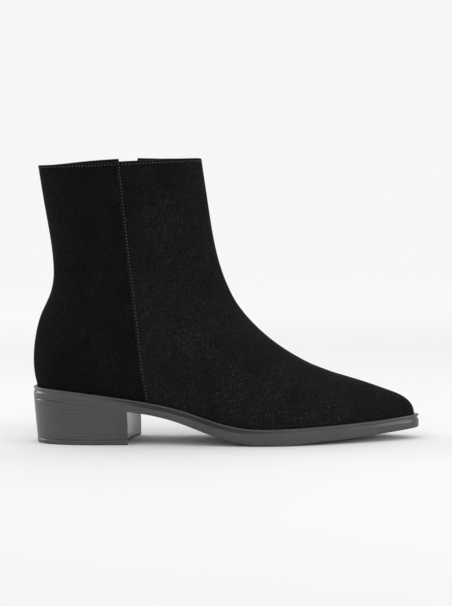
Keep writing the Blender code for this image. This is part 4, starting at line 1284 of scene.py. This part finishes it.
def build_outsole(material):
    """Outsole: the profile of its side carried round the outline, the bed inside, the tread under it.

    The cove draws the side in by its depth times its share along the sole, in millimetres. The tread's edge is
    rounded where it is free, and flush with the heel where the heel is.
    """
    rings, painted_shades = [], []
    for out, high, cove in zip(*SOLE_SIDE.values()):
        points, inner = (ring(far, lambda x, h=high: rim_top(x) + h) for far in (out, out - 1.0))
        cut = np.interp(points[:, 0], COVE["x"], COVE["share"]) * cove
        rings.append(points + (inner - points) * cut[:, None])
        # painted shade in the deeper coves, under the rim's lip
        painted_shades.append(np.clip(cut - COVE_LIGHT, 0.0, 1.0))
    wall = rings[-1]
    feet = []
    for out, high in zip(*SOLE_FOOT.values()):
        points, flush = ring(out, sole_bottom), ring(HEEL_OUT, sole_bottom)
        free = np.maximum(grow(flush[:, 0], *TREAD_ZONE), BACK_ROUNDING * (1 - grow(flush[:, 0], *BACK_ZONE)))
        flush[:, 2] += high * free
        points[:, 2] = flush[:, 2]
        feet.append(flush + (points - flush) * free[:, None])
    rings += [wall + (feet[0] - wall) * share for share in (0.25, 0.5, 0.75)] + feet
    painted_shades += [np.zeros(len(wall))] * (len(rings) - len(painted_shades))
    grids = [
        Grid(np.stack(rings), wrap=True, flip=True, tread=0.0, groove=np.stack(painted_shades)),
        Grid(across_ring(rings[0], 5), flip=True, tread=0.0),
        Grid(across_ring(rings[-1], 13), tread=1.0),
    ]
    return add_piece("sole", grids, material, replaces=("outsole",))


def heel_ring(share, inset=0.0, groove=0.0, height=None):
    """Ring of the heel between its head, at share 0, and its foot: the outline drawn in towards the breast.

    groove draws the ring in at the back only, fading out along the sides. The breast is a parabola, hollow in plan.
    """
    head = ring(HEEL_OUT, sole_bottom, HEEL_POINTS, BREAST_X)
    outer, inner = head[:HEEL_POINTS], head[HEEL_POINTS:]
    across = np.linspace(0.0, 1.0, BREAST_POINTS)[1:-1, None]
    breast = outer[-1] + (inner[0] - outer[-1]) * across
    breast[:, 0] -= BREAST_HOLLOW * 4 * (across * (1 - across))[:, 0]
    points = np.vstack((outer, breast, inner))
    drawn_in = groove * (1 - grow(points[:, 0], *HEEL_GROOVE_ZONE)) + inset
    points[:, 0] = BREAST_X - (BREAST_X - points[:, 0]) * (1 - (1 - HEEL_TAPER_BACK) * share)
    points[:, 1] *= 1 - (1 - HEEL_TAPER_SIDE) * share
    points[:, :2] -= unit(points[:, :2] - HEEL_MIDDLE) * drawn_in[:, None]
    slanted = points[:, 2] * (1 - share) + (LIFT_HEIGHT + LIFT_GAP) * share
    points[:, 2] = slanted if height is None else height
    return points


def build_heel(material):
    """Heel block: rings from a shallow groove under the outsole down to the top lift."""
    rings = capped(np.stack([heel_ring(*row) for row in zip(*HEEL_SIDE.values())]))
    smooth = np.zeros(rings.shape[:2])
    smooth[:, HEEL_POINTS:HEEL_POINTS + BREAST_POINTS - 2] = 1.0
    # painted shade in the groove over the heel's back, fading out forward
    shade = np.zeros(rings.shape[:2])
    shade[:HEEL_SHADE_RINGS] = 1 - grow(rings[:HEEL_SHADE_RINGS, :, 0], *HEEL_SHADE_ZONE)
    grids = [Grid(rings, wrap=True, flip=True, tread=0.0, smooth=smooth, groove=shade)]
    return add_piece("heel_block", grids, material, replaces=("heel",))


def build_top_lift(material):
    """Top lift: a plate with rounded edges under the heel, ribbed underneath."""
    rings = [heel_ring(1.0, inset, height=high) for high, inset in zip(*LIFT_SIDE.values())]
    rings = capped(np.stack(rings))
    grids = [Grid(rings[:-1], wrap=True, flip=True, tread=0.0), Grid(rings[-2:], wrap=True, flip=True, tread=1.0)]
    return add_piece("heel_top_lift", grids, material, replaces=("top_lift",))


# ---------------------------------------------------------------------------------------------------------------
# Zip


def build_tapes(material):
    """Two woven tapes under the slit's edges. Their inner edges meet under the teeth and part above the slider."""
    run = np.linspace(TAPE_TOP, ZIP_FOOT + TAPE_OVER, 120)
    middle, across = zip_at(run)
    near = TAPE_GAP + TAPE_PARTED * (1 - grow(run, *TAPE_ZONE))
    far = slit_half(run) + TAPE_WIDTH
    share = np.linspace(0.0, 1.0, 12)
    out = near[:, None] + (far - near)[:, None] * np.concatenate((share, share[::-1]))
    deep = TAPE_DEPTH + np.repeat((0.0, TAPE_THICKNESS), len(share))
    uv = np.stack(np.broadcast_arrays(out, run[:, None]), axis=-1) * MM
    uv = np.concatenate((uv[:1], uv, uv[-1:]))
    pieces = []
    for name, node, way in (("tape_front", "zip_tape_front", 1), ("tape_rear", "zip_tape_rear", -1)):
        spots = middle[:, None] + way * out[..., None] * across[:, None]
        points, _ = laid(spots, 1, np.broadcast_to(deep, out.shape))
        grid = Grid(capped(points), wrap=True, flip=way < 0, uv=uv)
        pieces.append(add_piece(name, [grid], material, replaces=(node,)))
    return pieces


def build_teeth(sizes, material):
    """Closed teeth: slanted nylon bars in two columns that mesh, and the cord that each column is sewn round.

    A tooth lies at an even depth, and deeper at its ends by a fourth power.
    """
    pitch = sizes.tooth_pitch / MM
    run = np.arange(PIVOT_DISTANCE - TEETH_ABOVE, ZIP_FOOT - TEETH_SHORT, pitch)
    cord_run = np.linspace(PIVOT_DISTANCE - CORD_ABOVE, ZIP_FOOT - CORD_SHORT, 100)
    cord_thick = np.full((1, len(cord_run)), CORD_RADIUS)
    cord_thick[0, (0, -1)] = 0.0
    share, thick = TOOTH.values()
    depth = TOOTH_DEPTH + TOOTH_BEND * (2 * share - 1.0) ** 4
    grids = []
    for way, phase in ((1, 0.0), (-1, 0.5)):
        at = run[:, None] + pitch * phase + TOOTH_SLANT * share
        middle, across = zip_at(at)
        spots = middle + (way * (TOOTH_START + TOOTH_WIDTH * share))[None, :, None] * across
        points, outward = laid(spots, 1, np.broadcast_to(depth, at.shape))
        grids.append(Grid(threads(points, outward, np.broadcast_to(thick, at.shape)), wrap=True))
        middle, across = zip_at(cord_run)
        points, outward = laid(middle + way * CORD_OUT * across, 1, CORD_DEPTH)
        grids.append(Grid(threads(points[None], outward[None], cord_thick, 8), wrap=True))
    return add_piece("zip_teeth", grids, material, replaces=("zip_chain",))


def pin_axes():
    """Pin of the pull tab and its axes: across the zip to the front, down the zip, and out from the boot."""
    spots, _ = zip_at(PIVOT_DISTANCE + np.array((-2.0, 0.0, 2.0)))
    (above, here, below), (_, out, _) = laid(spots, 1)
    down = below - above
    down = unit(down - down @ out * out)
    return here + PIVOT_HEIGHT * out, np.stack((np.cross(down, out), down, out))


def at_pin(points):
    """Points given across, down and out from the pin, in the boot's own layout."""
    pin, axes = pin_axes()
    return pin + np.asarray(points, float) @ axes


def superellipse(turn, corner):
    """Across and up on a superellipse of half size 1: powers of the cosine and the sine, with their signs kept."""
    return [np.sign(f(turn)) * np.abs(f(turn)) ** corner for f in (np.cos, np.sin)]


def bar(path, wide, thick, beside, corner, closed=False):
    """Rounded bar: a superellipse, with half sizes wide and thick, carried along a path.

    beside is the direction of the width at each point of the path.
    """
    step = np.roll(path, -1, axis=0) - np.roll(path, 1, axis=0) if closed else np.gradient(path, axis=0)
    up = unit(np.cross(unit(step), beside))
    flat = superellipse(2 * math.pi * (np.arange(BAR_POINTS) + 0.5) / BAR_POINTS, corner)
    wide, thick = (np.broadcast_to(v, len(path))[:, None, None] for v in (wide, thick))
    return path[:, None] + wide * flat[0][:, None] * beside[:, None] + thick * flat[1][:, None] * up[:, None]


def capped(rings):
    """Tube with its ends drawn to their middles, so that they close."""
    ends = [r.mean(axis=0, keepdims=True).repeat(rings.shape[1], axis=0)[None] for r in (rings[0], rings[-1])]
    return np.concatenate((ends[0], rings, ends[1]))


def build_slider(material):
    """Slider: a shield-shaped body, wide at its shoulders, two side rails and an arched bridge for the pin."""
    down, half, thick = SLIDER.values()
    flat = np.column_stack((np.zeros_like(down), down, np.full_like(down, BODY_OUT)))
    beside = np.tile((1.0, 0.0, 0.0), (len(down), 1))
    black = np.full((len(down) + 2, BAR_POINTS), FACE_BLACK)
    # painted highlights along the body's rims and over its shoulders
    black[:, (0, 7, 8, 15)] = RIM_BLACK
    black[:3] = SHOULDER_BLACK
    grids = [Grid(at_pin(capped(bar(flat, half, thick, beside, 0.4))), wrap=True, black=black)]
    for way in (-1, 1):
        rail = np.column_stack((way * (half - RAIL_HALF), down, np.full_like(down, RAIL_OUT)))
        rail = capped(bar(rail, RAIL_HALF, RAIL_THICK, beside, 0.4))
        grids.append(Grid(at_pin(rail), wrap=True, black=BAR_BLACK))
    angle = np.linspace(-BRIDGE_OVER, math.pi + BRIDGE_OVER, 21)
    arch = np.column_stack((np.zeros_like(angle), -BRIDGE_RADIUS * np.cos(angle),
                            BRIDGE_OUT + BRIDGE_RADIUS * np.sin(angle)))
    arch = capped(bar(arch, BRIDGE_HALF, BRIDGE_THICK, np.tile((1.0, 0.0, 0.0), (len(arch), 1)), 0.5))
    # painted highlights along the arch's sides
    black = np.tile((0.66, 0.66, 0.85, 0.95, 0.95, 0.85, 0.66, 0.66), (len(arch), 2))
    grids.append(Grid(at_pin(arch), wrap=True, black=black))
    return add_piece("slider", grids, material, replaces=("zip_slider",))


def build_pull(material):
    """Pull tab: a plate with a raised rim, a hollow with three studs, and an eye round the bridge.

    The plate's face is a height over (across, down): the rim rises by a smooth step of the distance from the edge,
    each stud is a bell. The plate ends in two quarter circles. The eye is a bar carried along a superellipse.
    """
    tip = PULL_CORNER * np.sin(np.linspace(0.0, math.pi / 2, 8))[1:]
    down = np.concatenate((np.linspace(PULL_START, PULL_ROUND, 52), PULL_ROUND + tip))
    half = np.interp(down, PULL_SIDE["down"], PULL_SIDE["half"])
    corner = PULL_CORNER * np.sqrt(np.clip(1 - ((down - PULL_ROUND) / PULL_CORNER) ** 2, 0.0, 1.0))
    half = np.where(down > PULL_ROUND, PULL_FLAT + corner, half)[:, None]
    share = np.linspace(-1.0, 1.0, 27)
    across, down = half * share, np.broadcast_to(down[:, None], (len(down), len(share)))
    edge = np.minimum(half * (1 - np.abs(share)), np.minimum(PULL_END - down, down - PULL_START + 0.2))
    rim = ease((PULL_RIM_WIDTH - edge) / PULL_RIM_SLOPE)
    studs = sum(np.exp(-(((across / STUD_RADIUS) ** 2 + ((down - at) / STUD_RADIUS) ** 2) ** 2)) for at in STUDS)
    face = PULL_FACE + PULL_RIM_RISE * rim - PULL_EDGE_FALL * ease((0.3 - edge) / 0.3) + PULL_STUD_RISE * studs
    under = PULL_UNDER + PULL_UNDER_RISE * ease((0.4 - edge) / 0.4)
    top, below = (np.stack((across, down, out), axis=-1) for out in (face, under))
    # painted highlights: the rim and the studs are less black
    black = 0.7 + 0.28 * (1 - rim) * (1 - np.clip(studs * 1.5, 0.0, 1.0))
    black = np.hstack((black, np.full_like(black, BAR_BLACK)))
    black = np.concatenate((black[:1], black, black[-1:]))
    plate = capped(np.hstack((top, below[:, ::-1])))

    oval = superellipse(2 * math.pi * np.arange(EYE_POINTS) / EYE_POINTS, 0.55)
    eye = np.column_stack((EYE_HALF * oval[0], EYE_DOWN + EYE_LENGTH * oval[1], np.zeros(EYE_POINTS)))
    step = unit(np.roll(eye, -1, axis=0) - np.roll(eye, 1, axis=0))
    beside = np.column_stack((step[:, 1], -step[:, 0], np.zeros(EYE_POINTS)))
    wide = 0.85 - 0.3 * ease((0.6 - eye[:, 1]) / 0.8)
    rings = bar(eye, wide, EYE_THICK, beside, 0.5, closed=True)
    # painted highlight on the top of the eye, by the pin
    shine = 0.75 - 0.65 * ease((0.3 - np.append(eye[:, 1], eye[0, 1])) / 0.5)
    grids = [
        Grid(at_pin(plate), wrap=True, black=black),
        Grid(at_pin(np.concatenate((rings, rings[:1]))), wrap=True, black=np.tile(shine[:, None], BAR_POINTS)),
    ]
    return add_piece("pull_tab_plate", grids, material, "pull_tab", replaces=("zip_pull",))


# ---------------------------------------------------------------------------------------------------------------
# Operators


def finish_named(name, make, *values):
    """The finish of that name, made once."""
    return bpy.data.materials.get(name) or make(*values)


class BOOT_OT_upper(bpy.types.Operator):
    """Sew the vamp, the rear quarter and the panel under the zip"""

    bl_idname = "boot.upper"
    bl_label = "Upper"

    def execute(self, context):
        sizes = context.scene.boot_sizes
        suede = finish_named("napped_suede", suede_finish, context.scene.boot_colours)
        upper = Upper(OUTSIDE)
        build_vamp(upper, sizes, suede)
        build_quarter(upper, sizes, suede)
        build_gusset(upper, suede)
        return {"FINISHED"}


class BOOT_OT_lining(bpy.types.Operator):
    """Line the upper and finish the insole"""

    bl_idname = "boot.lining"
    bl_label = "Lining and insole"

    def execute(self, context):
        lining = context.scene.boot_colours.lining
        cloth = finish_named("lining_cloth", cloth_finish, "lining_cloth", tuple(lining), 0.7, 0.85)
        build_lining(cloth)
        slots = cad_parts["insole"].material_slots
        slots[0].material = finish_named("sock_cloth", sock_finish, tuple(lining))
        return {"FINISHED"}


class BOOT_OT_stitching(bpy.types.Operator):
    """Put in the rows of stitches"""

    bl_idname = "boot.stitching"
    bl_label = "Stitching"

    def execute(self, context):
        thread = finish_named("stitch_thread", thread_finish, context.scene.boot_colours)
        build_stitching(Upper(OUTSIDE), context.scene.boot_sizes, thread)
        return {"FINISHED"}


class BOOT_OT_sole(bpy.types.Operator):
    """Mould the outsole, the heel and the top lift"""

    bl_idname = "boot.sole"
    bl_label = "Sole"

    def execute(self, context):
        rubber = finish_named("moulded_rubber", rubber_finish, context.scene.boot_colours)
        build_outsole(rubber)
        build_heel(rubber)
        build_top_lift(rubber)
        return {"FINISHED"}


class BOOT_OT_zip(bpy.types.Operator):
    """Fit the tapes, the teeth, the slider and its pull tab"""

    bl_idname = "boot.zip"
    bl_label = "Zip"

    def execute(self, context):
        colours = context.scene.boot_colours
        build_tapes(finish_named("tape_cloth", cloth_finish, "tape_cloth", tuple(colours.tape), 0.5, 0.8))
        build_teeth(context.scene.boot_sizes, finish_named("tooth_nylon", nylon_finish, colours))
        metal = finish_named("gunmetal", metal_finish, colours)
        build_slider(metal)
        build_pull(metal)
        return {"FINISHED"}


class BOOT_OT_stage(bpy.types.Operator):
    """Set up the floor, the soft boxes and the camera"""

    bl_idname = "boot.stage"
    bl_label = "Stage"

    def execute(self, context):
        build_stage(context.scene, context.scene.boot_stage)
        return {"FINISHED"}


class BOOT_PT_panel(bpy.types.Panel):
    bl_idname = "BOOT_PT_panel"
    bl_label = "Suede ankle boot"
    bl_space_type = "VIEW_3D"
    bl_region_type = "UI"
    bl_category = "Boot"

    def draw(self, context):
        for operator in OPERATORS:
            self.layout.operator(operator.bl_idname)
        for group in (context.scene.boot_sizes, context.scene.boot_colours, context.scene.boot_stage):
            box = self.layout.box()
            for name in group.__annotations__:
                box.prop(group, name)


# ---------------------------------------------------------------------------------------------------------------
# Stage


def add_softbox(name, spot, size, power, spread):
    """Area light at a spot, turned to the boot. A small spread keeps its light off the paper beside the boot."""
    lamp = bpy.data.lights.new(name, "AREA")
    lamp.shape = "RECTANGLE"
    lamp.size, lamp.size_y = size
    lamp.energy = power
    lamp.spread = math.radians(spread)
    light = bpy.data.objects.new(name, lamp)
    light.location = spot
    light.rotation_euler = (Vector(AIM) - Vector(spot)).to_track_quat("-Z", "Y").to_euler()
    bpy.context.scene.collection.objects.link(light)


def add_sweep(scene, colour):
    """Paper bowl: a flat floor that turns up in a quarter circle, spun round."""
    turn = np.linspace(0.0, math.pi / 2, 24)[1:]
    radius = np.concatenate((np.linspace(0.0, BOWL_FLOOR, 14), BOWL_FLOOR + BOWL_TURN * np.sin(turn)))[:, None]
    height = np.concatenate((np.zeros(14), BOWL_TURN - BOWL_TURN * np.cos(turn)))[:, None]
    spin = np.linspace(0.0, 2 * math.pi, 73)
    points = np.stack(np.broadcast_arrays(radius * np.cos(spin), radius * np.sin(spin), height), axis=-1)
    mesh = bpy.data.meshes.new("paper_sweep")
    mesh.from_pydata(points.reshape(-1, 3).tolist(), [], Grid(points).quads().tolist())
    mesh.polygons.foreach_set("use_smooth", np.ones(len(mesh.polygons), bool))
    mesh.materials.append(floor_finish(tuple(colour)))
    sweep = bpy.data.objects.new("paper_sweep", mesh)
    scene.collection.objects.link(sweep)


def add_camera(scene, focal_length):
    """Camera at a distance and a height, turned about the boot by its yaw, its view tilted and rolled."""
    yaw = math.radians(CAMERA_YAW)
    up = Vector((0.0, 0.0, 1.0))
    far, right = Vector((-math.sin(yaw), math.cos(yaw), 0.0)), Vector((math.cos(yaw), math.sin(yaw), 0.0))
    view = far + CAMERA_RIGHT * right - CAMERA_DOWN * up
    lens = bpy.data.cameras.new("camera")
    lens.lens = focal_length
    lens.sensor_width = SENSOR_WIDTH
    camera = bpy.data.objects.new("camera", lens)
    camera.location = CAMERA_HEIGHT * up - CAMERA_FAR * far
    turn = view.to_track_quat("-Z", "Y") @ Quaternion(up, math.radians(CAMERA_ROLL))
    camera.rotation_euler = turn.to_euler()
    scene.collection.objects.link(camera)
    scene.camera = camera


def build_stage(scene, stage):
    """Paper, even room light, soft boxes and camera."""
    add_sweep(scene, stage.floor)
    scene.view_settings.view_transform = "Standard"
    scene.world = bpy.data.worlds.new("studio")
    scene.world.use_nodes = True
    room = scene.world.node_tree.nodes["Background"].inputs
    room["Color"].default_value = (1.0, 1.0, 1.0, 1.0)
    room["Strength"].default_value = stage.world
    for name, spot, size, power, spread in SOFTBOXES:
        add_softbox(name, spot, size, power * stage.key, spread)
    add_camera(scene, stage.lens)


# ---------------------------------------------------------------------------------------------------------------
# Add-on

GROUPS = {"boot_sizes": BootSizes, "boot_colours": BootColours, "boot_stage": BootStage}
OPERATORS = (BOOT_OT_upper, BOOT_OT_lining, BOOT_OT_stitching, BOOT_OT_sole, BOOT_OT_zip, BOOT_OT_stage)
CLASSES = (*GROUPS.values(), *OPERATORS, BOOT_PT_panel)


def register():
    for cls in CLASSES:
        bpy.utils.register_class(cls)
    for name, group in GROUPS.items():
        setattr(bpy.types.Scene, name, PointerProperty(type=group))


def unregister():
    for name in GROUPS:
        delattr(bpy.types.Scene, name)
    for cls in reversed(CLASSES):
        bpy.utils.unregister_class(cls)


def main():
    register()
    bpy.ops.boot.upper()
    bpy.ops.boot.lining()
    bpy.ops.boot.stitching()
    bpy.ops.boot.sole()
    bpy.ops.boot.zip()
    bpy.ops.boot.stage()


if __name__ == "__main__":
    main()
